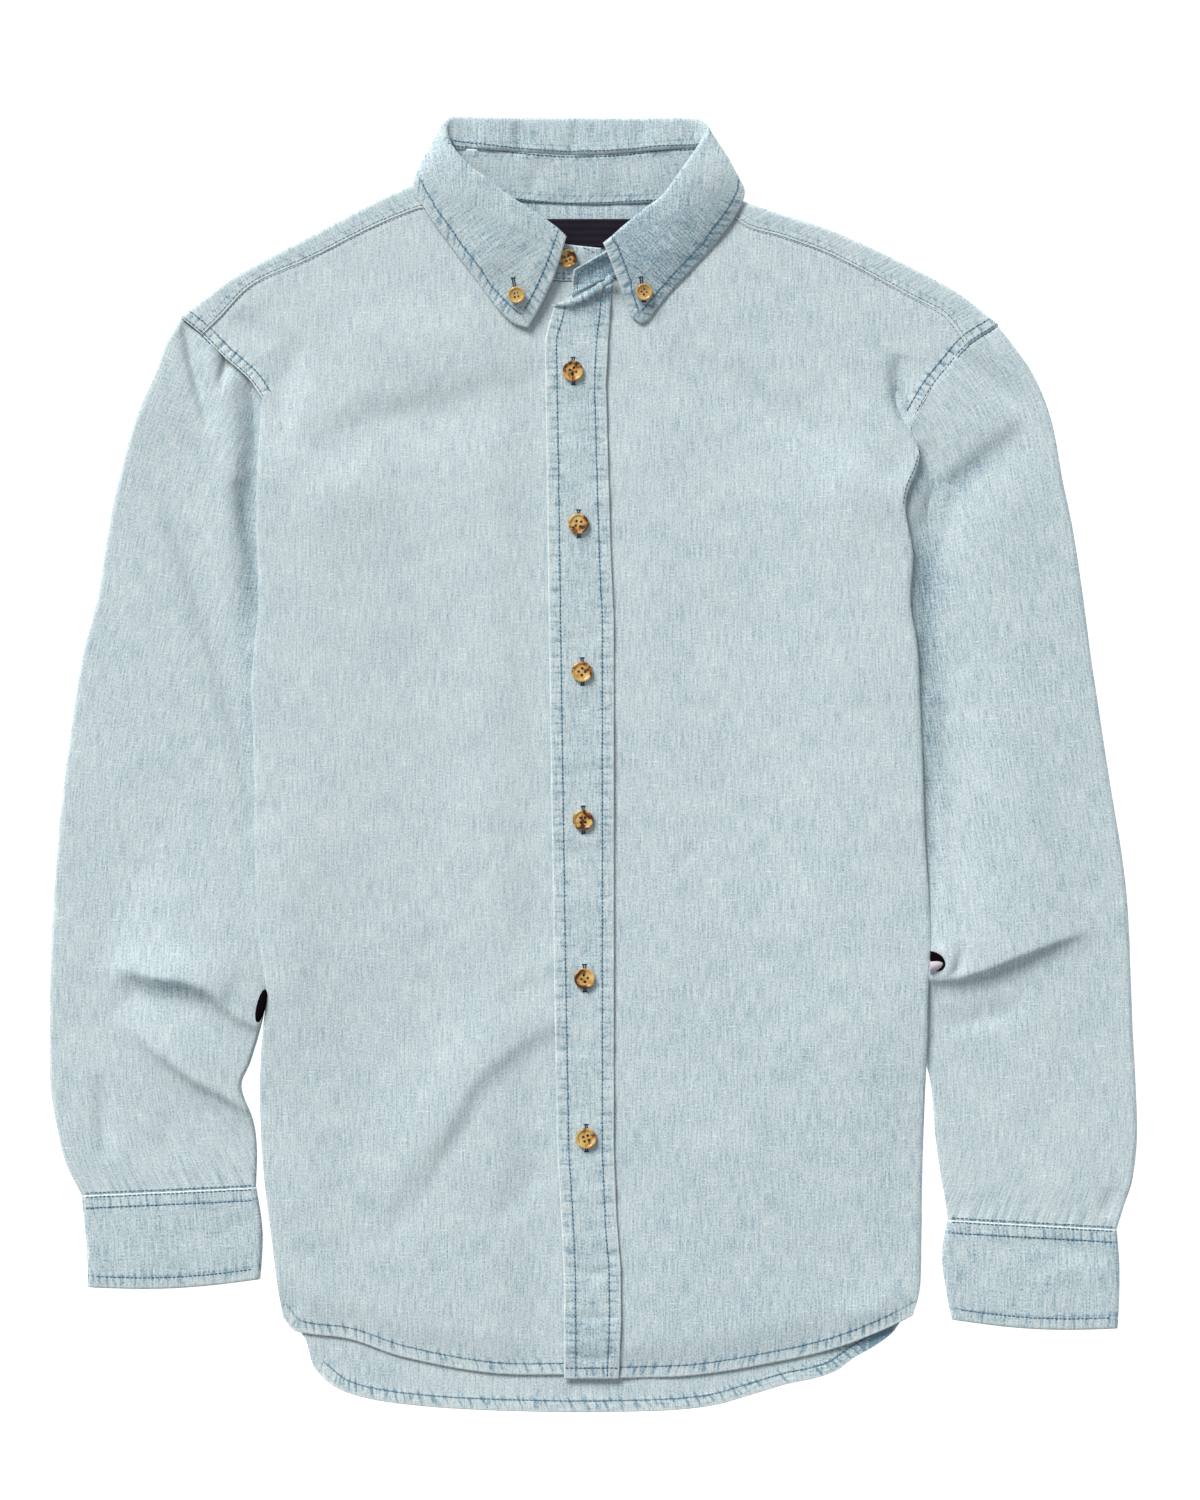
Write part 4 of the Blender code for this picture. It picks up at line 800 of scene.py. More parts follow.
RIGHT_SLEEVE_FOLDS = [
    Fold([(-298, -123), (-286, -127), (-270, -130.5), (-252, -133), (-238, -139.5),
          (-228, -148.5), (-216, -157), (-204, -161.5), (-180, -164)], 3.8, 70, 3.6),
    Fold([(-304, -122), (-286, -126.5), (-270, -130), (-252, -132.5), (-238, -139),
          (-228, -148), (-216, -156.5), (-204, -161), (-178, -164)], 3.4, 60, 9),
    Fold([(-296, -125), (-286, -129), (-270, -132.5), (-252, -134), (-238, -138), (-224, -142)],
         4.2, 16, 8.5),
    Fold([(-290, -158), (-270, -176), (-247, -193.5), (-232, -202), (-218, -210), (-192, -226)],
         3.6, 50, 3.2),
    Fold([(-294, -152), (-270, -175), (-247, -192), (-232, -201), (-218, -209), (-188, -226)],
         4.4, 40, 10),
    Fold([(-255, 288), (-251.5, 262), (-247.5, 243), (-243, 226), (-237, 204)], -4.6, 7, 3),
    Fold([(-225, 263), (-228.6, 246), (-232, 230)], -3.0, 4, 2.6),
    Fold([(-216, 256), (-208, 232), (-206, 212), (-207, 186)], -3.4, 6, 6),
    Fold([(-233, 262), (-228, 250), (-225, 238)], -2.5, 5, 5),
    Fold([(-274, 250), (-266, 226), (-256, 196)], 1.6, 8, 8),
    Fold([(-230, 262), (-213, 236), (-209, 200), (-210, 160), (-206, 70)], -5.6, 8, 9),
    Fold([(-240, 258), (-227, 236), (-220, 205), (-224, 160), (-216, 90)], 3.0, 8, 12),
    Fold([(-222, 176), (-217, 160), (-214, 140)], -2.4, 5, 4),
    Fold([(-282, 216), (-262, 158), (-244, 100), (-222, 29), (-208, -50)], -3.0, 18, 6),
    Fold([(-306, -192), (-303, -220), (-300, -246)], -2.6, 6, 5),
    Fold([(-258, -250), (-262, -232), (-268, -214)], -1.2, 6, 6),
    Fold([(-318, 20), (-290, -20), (-280, -60)], 1.0, 22, 22),
]
LEFT_SLEEVE_FOLDS = [
    Fold([(304, -102), (281, -110.5), (260, -119), (238, -127.5), (216, -132), (186, -126)],
         4.6, 3.4, 100),
    Fold([(310, -100), (281, -110), (260, -118), (238, -126), (216, -131), (186, -126)],
         3.8, 8, 90),
    Fold([(212, -113), (219.5, -117), (221, -125), (217, -132)], 2.0, 3.5, 3),
    Fold([(227, -108), (227, -118), (224.5, -126), (218, -133)], -2.2, 4, 2.6),
    Fold([(203, 200), (212, 160), (217, 110), (219, 60), (220, 0), (222, -60), (224, -110)],
         -4.6, 26, 13),
    Fold([(201, 214), (206, 196), (210, 178), (214, 160), (216, 130), (217, 100)], -2.0, 14, 10),
    Fold([(203, 150), (206, 112), (207, 76), (206, 40)], -3.0, 9, 9),
    Fold([(197, 218), (204, 200), (210, 186), (214, 172), (214, 158)], -2.6, 6, 8),
    Fold([(192, 150), (196, 80), (200, 20), (203, -60), (205, -112)], 2.0, 10, 10),
    Fold([(272, -146), (246, -156), (212, -162)], -1.6, 7, 10),
    Fold([(193, 132), (205, 149), (218, 165), (235, 181), (255, 197), (277, 213)], -3.6, 8, 18),
    Fold([(229, 258), (242, 243), (258, 227), (272, 212)], -3.2, 8, 6),
    Fold([(322, -262), (319, -272), (317, -280)], -1.6, 5, 5),
    Fold([(228, 60), (238, 0), (238, -50)], 1.0, 24, 24),
]
# Painted shade on the sleeves, drawn as darker, bluer cloth: mostly beside the body, and in the
# right elbow's crease.
RIGHT_SLEEVE_SHADE = [Fold([(-224, 262), (-217, 220), (-214, 160), (-212, 60), (-212, -40)],
                   -0.1, 12, 8),
              Fold([(-296, -130), (-270, -136), (-252, -138), (-228, -148)], -0.12, 4, 7)]
LEFT_SLEEVE_SHADE = [Fold([(200, 214), (203, 170), (204, 110), (206, 50), (208, -20), (210, -100)],
                  -0.12, 10, 8),
             Fold([(208, 156), (222, 172), (246, 190)], -0.1, 8, 5),
             Fold([(205, 150), (207, 105), (207, 50)], -0.09, 10, 10),
             Fold([(240, 280), (270, 60), (290, -220)], -0.04, 70, 70)]


def tube_profile(width, outer_high, inner_high, wall, nose, top, under):
    """Reach and height of the points round a flat tube's middle surface: round the outer
    fold, over the top, round the inner fold, and back underneath."""
    r0, r1 = outer_high / 2, inner_high / 2
    turn = math.pi * (0.5 + nose)[None]
    crown = 0.7 * np.sin(math.pi * top)
    reach = [r0 + (r0 - wall / 2) * np.cos(turn)]
    height = [r0 - (r0 - wall / 2) * np.sin(turn)]
    reach.append(mix(r0, width - r1, top[None]))
    height.append(mix(outer_high, inner_high, top[None]) - wall / 2 + crown)
    turn = math.pi * (0.5 - nose)[None]
    reach.append(width - r1 + (r1 - wall / 2) * np.cos(turn))
    height.append(r1 + (r1 - wall / 2) * np.sin(turn))
    reach.append(mix(r0, width - r1, under[None]))
    height.append(np.full(reach[-1].shape, wall / 2))
    return np.concatenate(reach, 1), np.concatenate(height, 1)


def tube(cuts, shares, wall, nose, top, under, plan_shift):
    """The middle surface of a flat tube, its reach from its outer fold, how far down it
    each point is, and how much of the upper layer each point is."""
    cut = curve([tuple(row) for row in cuts], shares)
    outer, inner = cut[:, :2], cut[:, 2:4]
    width = np.linalg.norm(inner - outer, axis=1, keepdims=True)
    way = (inner - outer) / width
    reach, height = tube_profile(width, cut[:, 4:5], cut[:, 5:6], wall, nose, top, under)
    plan = outer[:, None] + way[:, None] * reach[..., None]
    plan = plan + plan_shift(shares, reach / width)
    middle = (outer + inner) / 2
    down = np.append(0, np.cumsum(np.linalg.norm(np.diff(middle, axis=0), axis=1)))
    grid = np.concatenate([plan, height[..., None]], -1).transpose(1, 0, 2)
    upper = np.clip(height / cut[:, 4:5], 0, 1).T
    return grid, reach.T, np.tile(down, (grid.shape[0], 1)), upper


def sleeve(name, cuts, armhole, folds, blue, seed):
    """A sleeve: a tube whose head bends from its straight cut to the armhole's curve."""
    tip, underarm = np.array(armhole[-1], float), np.array(armhole[0], float)
    out = np.array([tip[1] - underarm[1], underarm[0] - tip[0]])
    out *= -np.sign(out[1]) / np.linalg.norm(out)

    def follow_armhole(shares, part):
        """How far the head's points move in plan, to lie just under the armhole's seam."""
        on_seam = curve(armhole[::-1], np.clip(part, 0, 1).ravel()).reshape(*part.shape, 2)
        straight = mix(tip, underarm, part[..., None])
        near = np.clip(1 - shares / 0.11, 0, 1)[:, None, None]
        return (on_seam - straight - out * SLEEVE_TUCK) * near

    shares = graded([(0, 2.2), (0.06, 1.4), (0.12, 1), (0.6, 1), (0.66, 2), (0.86, 2),
                     (0.92, 1.3), (1, 1.8)], 290)
    top = graded([(0, 1.6), (0.1, 1), (0.9, 1), (1, 1.6)], 60)[1:-1]
    under = even(20)[-2:0:-1]
    grid, reach, down, upper = tube(cuts, shares, CLOTH, even(8), top, under, follow_armhole)
    x, y = grid[..., 0], grid[..., 1]
    from_cuff = down[0, -1] - down
    gather = ease(CUFF_GATHER_WIDTH, 0, from_cuff)
    run = reach * 0.8
    seam = np.stack([run, np.where(from_cuff < 30, 1.2, NO_SEAM), gather * 0.35], -1)
    uneven = 0.3 * rumple(x, y, 36, seed) + 0.12 * rumple(x, y, 12, seed + 1)
    fade = ease(0, 14, down) * ease(0, 12, from_cuff)
    grid[..., 2] += upper * (creased(folds, x, y) + uneven * fade
                             + 0.5 * gather * pucker(run) - 0.9 * ease(3.4, 0, down))
    # The cloth's colour takes the painted shade that is given in blue.
    grain = np.stack([reach + seed * 131, down, creased(blue, x, y) - 0.03], -1)
    return cloth(name, grid, grain, seam, wrap=True)


sleeve_right = sleeve("sleeve_right_cloth", RIGHT_SLEEVE, RIGHT_ARMHOLE, RIGHT_SLEEVE_FOLDS,
                      RIGHT_SLEEVE_SHADE, 11)
sleeve_left = sleeve("sleeve_left_cloth", LEFT_SLEEVE, LEFT_ARMHOLE, LEFT_SLEEVE_FOLDS,
                     LEFT_SLEEVE_SHADE, 13)


# ---------------------------------------------------------------- the cuffs
# A doubled, interlined band round each wrist, closed edge to edge at the back. Its top edge
# laps the sleeve with two close rows of stitches and a third below them, and the wash has
# puckered both of its edges.

CUFF_CLOTH = 1.4
CUFF_SEAM_WIDTH = 8.0
CUFF_BOW = 3.0             # how far each cuff's open edge bows out in the middle
RIGHT_CUFF = [
    Cut(-317, -266.6, -208.5, -261.6, 6.4, 6.4), Cut(-314.5, -292, -205, -284, 6.4, 6.4),
    Cut(-313.5, -306, -204.6, -298, 6.4, 6.4), Cut(-313, -323.5, -206, -318.5, 6, 6),
]
LEFT_CUFF = [
    Cut(324.4, -287.6, 219.2, -281.6, 6.4, 6.4), Cut(326, -309, 215.8, -303, 6.4, 6.4),
    Cut(326, -328, 218.5, -326, 6.4, 6.4), Cut(325, -349, 222, -343.5, 6, 6),
]
RIGHT_CUFF_FOLDS = [
    Fold([(-272, -270), (-262, -280), (-262, -294)], 0.6, 6, 8),
    Fold([(-236, -294), (-222, -286), (-210, -280)], -0.8, 5, 6),
]
LEFT_CUFF_FOLDS = [
    Fold([(242, -300), (280, -296), (318, -306)], -0.9, 5, 6),
    Fold([(270, -326), (292, -314), (322, -318)], 0.8, 6, 9),
]


def cuff(name, cuts, folds, seed):
    """A cuff: a short tube whose open edge bows out."""
    def bowed(shares, part):
        """How far the points move in plan."""
        bow = -CUFF_BOW * ease(0.2, 1, shares)[:, None] * np.sin(math.pi * np.clip(part, 0, 1))
        return np.stack([np.zeros(bow.shape), bow], -1)

    top, under = even(64)[1:-1], even(24)[-2:0:-1]
    grid, reach, down, upper = tube(cuts, even(38), CUFF_CLOTH, even(8), top, under, bowed)
    x, y = grid[..., 0], grid[..., 1]
    from_hem = down[0, -1] - down
    near_top = down < from_hem
    share = np.where(near_top, down, from_hem) / CUFF_SEAM_WIDTH
    pull = np.where(near_top, 0.6, 0.55) * ease(1.5, 0.95, share)
    seam = np.stack([reach * np.where(near_top, 1.35, 1.1) + seed, share, pull], -1)
    grid[..., 2] += upper * (creased(folds, x, y) + roped(seam, 0.35)
                             + 0.2 * rumple(x, y, 17, seed))
    grain = np.stack([reach + seed * 61, down, np.full(down.shape, -0.085)], -1)
    return cloth(name, grid, grain, seam, wall=CUFF_CLOTH, wrap=True)


cuff_right = cuff("cuff_right_cloth", RIGHT_CUFF, RIGHT_CUFF_FOLDS, 17)
cuff_left = cuff("cuff_left_cloth", LEFT_CUFF, LEFT_CUFF_FOLDS, 19)


# ---------------------------------------------------------------- the collar
# A doubled stand sewn to the neck, and a doubled fall sewn to its top edge, which rolls
# over and lies on the fronts in two button-down points. Behind the neck the stand's inside
# faces up. The stand's buttonhole end lies folded back a little at the middle of the neck.

FALL_CLOTH = 1.3
STAND_CLOTH = 1.2
FOLD_RADIUS = 1.6          # fold of the collar at the front
BACK_FOLD_RADIUS = 1.9     # and behind the neck
FALL_BULGE = 3.0           # how far the fall stands off a straight line to its edge
FRONT_BOW = 3.2            # how far the fall's front edges bow out
COLLAR_SEAM_WIDTH = 7.2
STAND_SEAM_WIDTH = 5.0
STAND_LAP = 1.4            # how far the fall laps the stand behind the neck
YOKE_LAP_BEHIND = 1.8      # and how far the stand laps the yoke there
COLLAR_FOLDS = [
    Fold([(-47, 376), (-46, 390), (-44, 406)], -1.5, 4, 6),
    Fold([(-14, 374), (-11, 390), (-9, 406)], -1.3, 5, 4),
    Fold([(26, 376), (29, 390), (30, 406)], -1.5, 4, 5),
    Fold([(-72, 380), (-68, 392), (-70, 406)], 1.2, 5, 5),
    Fold([(-40, 350), (-36, 362), (-34, 378)], -1.0, 4, 5),
    Fold([(2, 349), (4, 364), (8, 378)], 0.9, 5, 5),
]

# Across the fall: its seam, the top of its fold, its outer edge, and the way that it faces
# there: 0 is up, and 180 is down, where its inside shows behind the neck.
Roll = namedtuple("Roll", "seam_x seam_y seam_z fold_x fold_y fold_z edge_x edge_y edge_z turn")
Stand = namedtuple("Stand", "base_x base_y base_z top_x top_y top_z")
COLLAR = [
    Roll(-19, 322.3, 8.5, -17.5, 326, 9.7, -40, 270, 5.4, 0),
    Roll(-26.4, 326.5, 10.0, -24, 332, 11.2, -50, 273.5, 5.6, 0),
    Roll(-41.2, 334.6, 11.6, -38, 342, 12.8, -62, 286, 5.9, 0),
    Roll(-57.4, 342.5, 12.6, -53, 351.5, 13.8, -76, 305, 6.2, 0),
    Roll(-72.8, 351.6, 12.9, -66, 361.5, 14.1, -91, 325, 6.4, 0),
    Roll(-85.5, 361.5, 12.4, -79, 372, 13.8, -104, 344, 7.2, 12),
    Roll(-91, 371, 10.6, -88, 383, 12.2, -110, 356, 6.6, 40),
    Roll(-91, 379, 8, -92, 394, 8.6, -110, 362.5, 4, 90),
    Roll(-88, 382, 6, -89.5, 399, 4.8, -103, 366, 1.3, 140),
    Roll(-80, 381.8, 4.7, -81, 400.3, 2.8, -87, 369, 0.9, 180),
    Roll(-50, 381.2, 4.7, -50, 400.3, 2.8, -54, 369, 0.9, 180),
    Roll(-8, 379, 4.7, -8, 400.3, 2.8, -8, 369, 0.9, 180),
    Roll(34, 381.4, 4.7, 34, 400.3, 2.8, 36, 369, 0.9, 180),
    Roll(58, 383, 4.7, 58, 400.3, 2.8, 64, 368, 0.9, 180),
    Roll(66, 383, 6, 66, 399, 4.8, 85, 365, 1.3, 140),
    Roll(70.5, 379, 8, 70.5, 392.5, 8.6, 92, 359, 4, 90),
    Roll(71.5, 370, 10.6, 65.5, 382.5, 12.2, 92.5, 350, 6.6, 40),
    Roll(66.2, 361.4, 12.4, 58, 371.5, 13.8, 87, 338, 7.2, 12),
    Roll(56.2, 350.2, 12.9, 50, 360.5, 14.1, 74, 321, 6.4, 0),
    Roll(48.1, 341.3, 12.9, 43, 351, 14.1, 64, 310, 6.1, 0),
    Roll(36, 335, 12.9, 33, 343.5, 14.1, 50, 295, 6.0, 0),
    Roll(22.6, 326.5, 12.9, 20, 333, 14.1, 40, 283, 5.9, 0),
    Roll(13.2, 321.2, 12.9, 11.5, 325.5, 14.1, 31, 273, 5.8, 0),
    Roll(8, 317.8, 12.9, 6.5, 321.5, 14.1, 24, 277, 6.0, 0),
]
STAND = [
    Stand(8, 299.5, 2.65, 5, 320, 5.0), Stand(-18, 299.5, 2.65, -17, 322.5, 6.5),
    Stand(-34, 302.5, 3.6, -26.2, 326, 8.0), Stand(-51, 309.5, 4.6, -41, 334, 10.4),
    Stand(-68, 319.5, 4.9, -57.3, 342, 12.2), Stand(-86, 331.5, 4.9, -72.5, 351.1, 12.9),
    Stand(-99.6, 345.6, 4.9, -85.1, 361.1, 12.4), Stand(-102, 354, 4.4, -90.8, 370.5, 10.6),
    Stand(-99, 357.5, 2.4, -90.6, 378.6, 8), Stand(-95, 357.6, 1.2, -87.8, 381.5, 6),
    Stand(-86, 355.6, 0.7, -80, 381.3, 4.7), Stand(-50, 351.6, 0.7, -50, 380.7, 4.7),
    Stand(-8, 349, 0.7, -8, 378.5, 4.7), Stand(38, 350.2, 0.7, 34, 380.9, 4.7),
    Stand(68, 353.4, 0.7, 58, 382.5, 4.7), Stand(79, 355, 1.2, 67.8, 382.5, 6),
    Stand(84, 354.2, 2.4, 73.6, 378, 8), Stand(85.5, 350, 4.4, 73, 368.8, 10.4),
    Stand(83.6, 342.6, 4.9, 65.9, 361, 12.4), Stand(70, 330.5, 4.9, 56, 349.7, 12.9),
    Stand(60, 319.5, 4.9, 47.8, 340.8, 12.9), Stand(46, 311.5, 4.9, 35.8, 334.5, 12.9),
    Stand(33, 303.5, 4.9, 22.4, 326, 12.9), Stand(20, 301.6, 5.4, 13, 320.7, 12.9),
    Stand(12.4, 302.1, 6.2, 7.8, 317.3, 12.9), Stand(-13.4, 290.7, 6.4, -12, 306, 10.5),
]
# The buttonhole end: a fold across it, and its lower seam, which curls up.
TAB_RADIUS = 2.0
TAB_FOLD = Fold([(-19, 293), (-9.9, 297.4), (-5, 301.7), (11.8, 311.6), (21, 317)],
                -2.0, 3.2, 3.2)
TAB_ROLL = [(-26, 283.4, 6.9), (-20.5, 284.4, 8.4), (-13, 285.9, 9.6), (-5, 289, 10.0),
            (1.5, 293, 10.4), (7.5, 297.4, 10.8), (12, 301, 11.2)]


def lengths(grid, axis):
    """How far each point of a grid is along its column or its row."""
    steps = np.linalg.norm(np.diff(grid, axis=axis), axis=-1)
    first = np.zeros_like(steps.take([0], axis=axis))
    return np.cumsum(np.concatenate([first, steps], axis=axis), axis=axis)


def closest_seam(away, along, pull):
    """What sewn gives, where each place follows the closest of several seams. Each seam has
    how far away every place is, in its widths, how far along, and how hard it pulls."""
    kind = away.argmin(0)
    share, run = (np.take_along_axis(values, kind[None], 0)[0] for values in (away, along))
    return np.stack([run, share, ease(1.6, 0.95, share) * np.array(pull)[kind]], -1)


around = even(300)
rolls = curve([tuple(row) for row in COLLAR], around)
seam_at, fold_at, edge_at, turned = rolls[:, 0:3], rolls[:, 3:6], rolls[:, 6:9], rolls[:, 9:10]
behind = ease(60, 150, turned)
turn = np.radians(turned)
up = unit((fold_at - seam_at) * (1, 1, 0))
outside = np.sign(edge_at[:, 0:1]) * np.array([[1.0, 0, 0]])
face = np.array([[0, 0, 1.0]]) * np.cos(turn) + outside * np.sin(turn)
face = unit(face - up * (face * up).sum(1, keepdims=True))
radius = mix(FOLD_RADIUS, BACK_FOLD_RADIUS, turned / 180)
wave = rumple(fold_at[:, 0], fold_at[:, 0] * 0, 24, 43)
fold_at = fold_at + up * wave[:, None] * behind
middle = fold_at - up * radius
lap = seam_at - up * STAND_LAP * behind - face * 0.2 * behind
# In columns from the seam: up the stand, round the fold, and down the fall to its edge.
rows = [mix(lap, middle - face * radius, part) for part in even(6)[:-1]]
for angle in math.pi * even(9):
    rows.append(middle - face * radius * math.cos(angle) + up * radius * math.sin(angle))
start = rows[-1]
flatter = mix(0.2, 1, ease(0, 0.09, around) * ease(1, 0.91, around))[:, None]
bend = mix(start, edge_at, 0.45) + face * FALL_BULGE * (1 - turned / 180) * 2 * flatter
for part in even(40)[1:]:
    rows.append(start * (1 - part) ** 2 + bend * 2 * part * (1 - part) + edge_at * part ** 2)
grid = np.stack(rows, axis=1)
down, round_neck = lengths(grid, 1), lengths(grid, 0)
from_edge = down[:, -1:] - down
from_right, from_left = round_neck, round_neck[-1:] - round_neck
before_fold = np.arange(grid.shape[1])[None] < 8
seam = closest_seam(
    np.stack([from_edge / COLLAR_SEAM_WIDTH, from_right / COLLAR_SEAM_WIDTH,
              from_left / COLLAR_SEAM_WIDTH,
              np.where(before_fold, down / STAND_SEAM_WIDTH, NO_SEAM)]),
    np.stack([round_neck * 0.95, down * 1.1, down * 1.1 + 40, round_neck]),
    (0.75, 0.75, 0.75, 0.5))
x, y = grid[..., 0], grid[..., 1]
# The fall is drawn darker all over, with an uneven tone, and darker still on the wearer's left
# point: painted shade, as that point faces away from the light.
fading = -0.09 - 0.13 * ease(0, 30, x) * ease(372, 330, y) + 0.035 * rumple(x, y, 15, 41)
away, where = nearest(x, y, edge_at[::3, :2])
grain = np.stack([where + 40, away + 700, fading], -1)
bow = np.sin(math.pi * down / down[:, -1:]) * ease(0.06, 0.0, around)[:, None]
grid[..., 0] += FRONT_BOW * bow
uneven = roped(seam, 0.25) + 0.8 * rumple(x, y, 17, 23) + 0.2 * rumple(x, y, 6, 24)
grid += face[:, None] * uneven[..., None]
grid -= face[:, None] * (behind * creased(COLLAR_FOLDS, x, y))[..., None]
collar_fall = cloth("collar_fall_cloth", grid, grain, seam, wall=FALL_CLOTH)

# Where the row of stitches lies: the same way in from the outer edge and from both ends.
ring = np.argmin(np.abs(from_edge - COLLAR_SEAM_WIDTH), axis=1)
edge_row = np.array([grid[k, ring[k], :2] for k in range(len(grid))
                     if min(from_right[k, ring[k]], from_left[k, ring[k]])
                     > COLLAR_SEAM_WIDTH])[::3]
end_rows = []
for far in (from_right, from_left):
    column = np.argmin(np.abs(far - COLLAR_SEAM_WIDTH), axis=0)
    end_rows.append(np.array([grid[column[k], k, :2] for k in range(10, grid.shape[1])
                              if from_edge[column[k], k] > COLLAR_SEAM_WIDTH])[::3])

stand = curve([tuple(row) for row in STAND], around)
base, top = stand[:, :3], stand[:, 3:]
up = unit(top - base)
behind = ease(351, 357, top[:, 1:2]) * ease(4.8, 3.0, base[:, 2:3])
base = base - up * YOKE_LAP_BEHIND * behind + (0, 0, 1) * behind
top = top - up * 0.3 - (0, 0, 0.4) * behind
grid = mix(base[:, None], top[:, None], even(20)[None, :, None])
down, round_neck = lengths(grid, 1), lengths(grid, 0)
from_end = round_neck[-1:] - round_neck
on_tab = ease(40, 30, from_end)
seam = closest_seam(
    np.stack([down / STAND_SEAM_WIDTH, (down[:, -1:] - down) / 4.0, from_end / 4.0]),
    np.stack([round_neck, round_neck, down]), (0.5, 0.5, 0.5))
x, y = grid[..., 0], grid[..., 1]
grid[..., 2] += (roped(seam, 0.2) + 0.3 * rumple(x, y, 10, 29)
                 + creased(COLLAR_FOLDS, x, y) * ease(340, 352, y)
                 + creased([TAB_FOLD], x, y) * on_tab
                 + 0.6 * ease(0.5, 0.2, seam[..., 1]) * on_tab)
# The buttonhole end is drawn darker: painted shade under the fall's point.
grain = np.stack([round_neck[:, :1] + 0 * down, down + 300, -0.08 - 0.23 * on_tab], -1)
collar_stand = cloth("collar_stand_cloth", grid, grain, seam, wall=STAND_CLOTH)

# The curled seam of the buttonhole end: a closed roll of cloth, joined to the stand.
along_tab = even(60)
middle = curve(TAB_ROLL, along_tab)
along = unit(np.gradient(middle, axis=0))
side = unit(np.cross(along, (0, 0, 1.0)))
angle = 2 * math.pi * even(12)[:-1, None, None]
thick = TAB_RADIUS + 0.9 * rumple(middle[:, 0] * 4, middle[:, 1] * 4, 12, 37)
thick = thick * ease(-0.1, 0.3, along_tab) * ease(0, 0.04, along_tab) + 0.05
thick = thick[None, :, None]
grid = middle[None] + thick * (side[None] * np.cos(angle) * 1.15
                               - np.cross(along, side)[None] * np.sin(angle))
# The roll is drawn darker as well: painted shade, which also dulls its lit top.
grain = np.stack([grid[..., 0], grid[..., 1] + 77, 0 * grid[..., 0] - 0.2], -1)
seam = np.stack([lengths(grid, 1) * 0.7, 0 * grid[..., 0] + 0.5, 0 * grid[..., 0] + 0.6], -1)
tab_roll = wall_of_cloth("tab_roll", grid, grain, seam, wall=0.1, wrap=True)
bpy.ops.object.select_all(action="DESELECT")
tab_roll.select_set(True)
collar_stand.select_set(True)
bpy.context.view_layer.objects.active = collar_stand
bpy.ops.object.join()


# ---------------------------------------------------------------- the label
# A plain woven label of dark satin, sewn flat on the yoke behind the neck.

LABEL_X, LABEL_Y = (-36, 28), (320.5, 338)
LABEL_HEIGHT = 1.9
LABEL_CLOTH = 0.7
RIB_SPACING = 4.145        # of its weft bars, which are finer in a real label

# Dull polyester satin, nearly black, with faint bars across it.
label_satin = new_material("woven_satin_label", "#140C1E", 0.6, Specular_IOR_Level=0.2)
place = add(label_satin, "TexCoord").outputs["Object"]
ribs = add(label_satin, "TexWave", {"Vector": place, "Scale": math.pi / 10 / (RIB_SPACING * MM),
                                    "Distortion": 0.6, "Detail": 1.0},
           bands_direction="Y").outputs[0]
coloured(label_satin, ribs, [(0.0, "#0F0918"), (1.0, "#1A1226")])
relief = {"Strength": 0.3, "Distance": 0.2 * MM, "Height": ribs}
into_shader(label_satin, add(label_satin, "Bump", relief), "Normal")

x = mix(*LABEL_X, even(60))[:, None] + 0 * even(18)[None]
y = mix(*LABEL_Y, even(18))[None] + 0 * x
z = LABEL_HEIGHT + 0.25 * rumple(x, y, 14, 31)
plain = np.zeros((*x.shape, 3))
label = cloth("label_cloth", np.stack([x, y, z], -1), plain, plain, slot="label",
              wall=LABEL_CLOTH)
label.data.materials[0] = label_satin


# ---------------------------------------------------------------- the stitching
# Lockstitch in a blue cotton thread, darker than the cloth and sunk in the seams' own dips.
# The real stitches are 0.4 mm thick; most are drawn at 0.75 mm, so that they show.

STITCH_PITCH = 2.6
STITCH_LENGTH = 2.3
THREAD = 0.75
FINE_THREAD = 0.5          # where the stitches hardly show
STRAY = 0.12               # how far a stitch strays from its row

# Cotton thread, faded unevenly along its length.
blue_thread = new_material("washed_blue_cotton_thread", "#4A7196", 0.8)
place = add(blue_thread, "TexCoord").outputs["Object"]
fading = add(blue_thread, "TexNoise", {"Vector": place, "Scale": 1 / (6 * MM), "Detail": 2.0})
coloured(blue_thread, fading.outputs[0], [(0.35, "#30566F"), (0.68, "#5A839C")])

bpy.ops.object.select_all(action="DESELECT")
bpy.ops.mesh.primitive_uv_sphere_add(segments=6, ring_count=5, radius=0.5,
                                     rotation=(0, math.pi / 2, 0))
bpy.ops.object.transform_apply(rotation=True)
stitch = bpy.context.object
stitch_points = np.array([vert.co for vert in stitch.data.vertices])
stitch_faces = [list(face.vertices) for face in stitch.data.polygons]
bpy.data.objects.remove(stitch)
surfaces = {}


def from_above(pieces, x, y):
    """The highest point of the pieces at a place in plan, and the way it faces."""
    best = None
    for piece in pieces:
        if piece.name not in surfaces:
            surfaces[piece.name] = BVHTree.FromObject(piece,
                                                      bpy.context.evaluated_depsgraph_get())
        ray = Vector((x * MM, y * MM, 1)), Vector((0, 0, -1))
        hit, facing = surfaces[piece.name].ray_cast(*ray)[:2]
        if hit and (best is None or hit.z > best[0].z):
            best = hit, facing
    return best


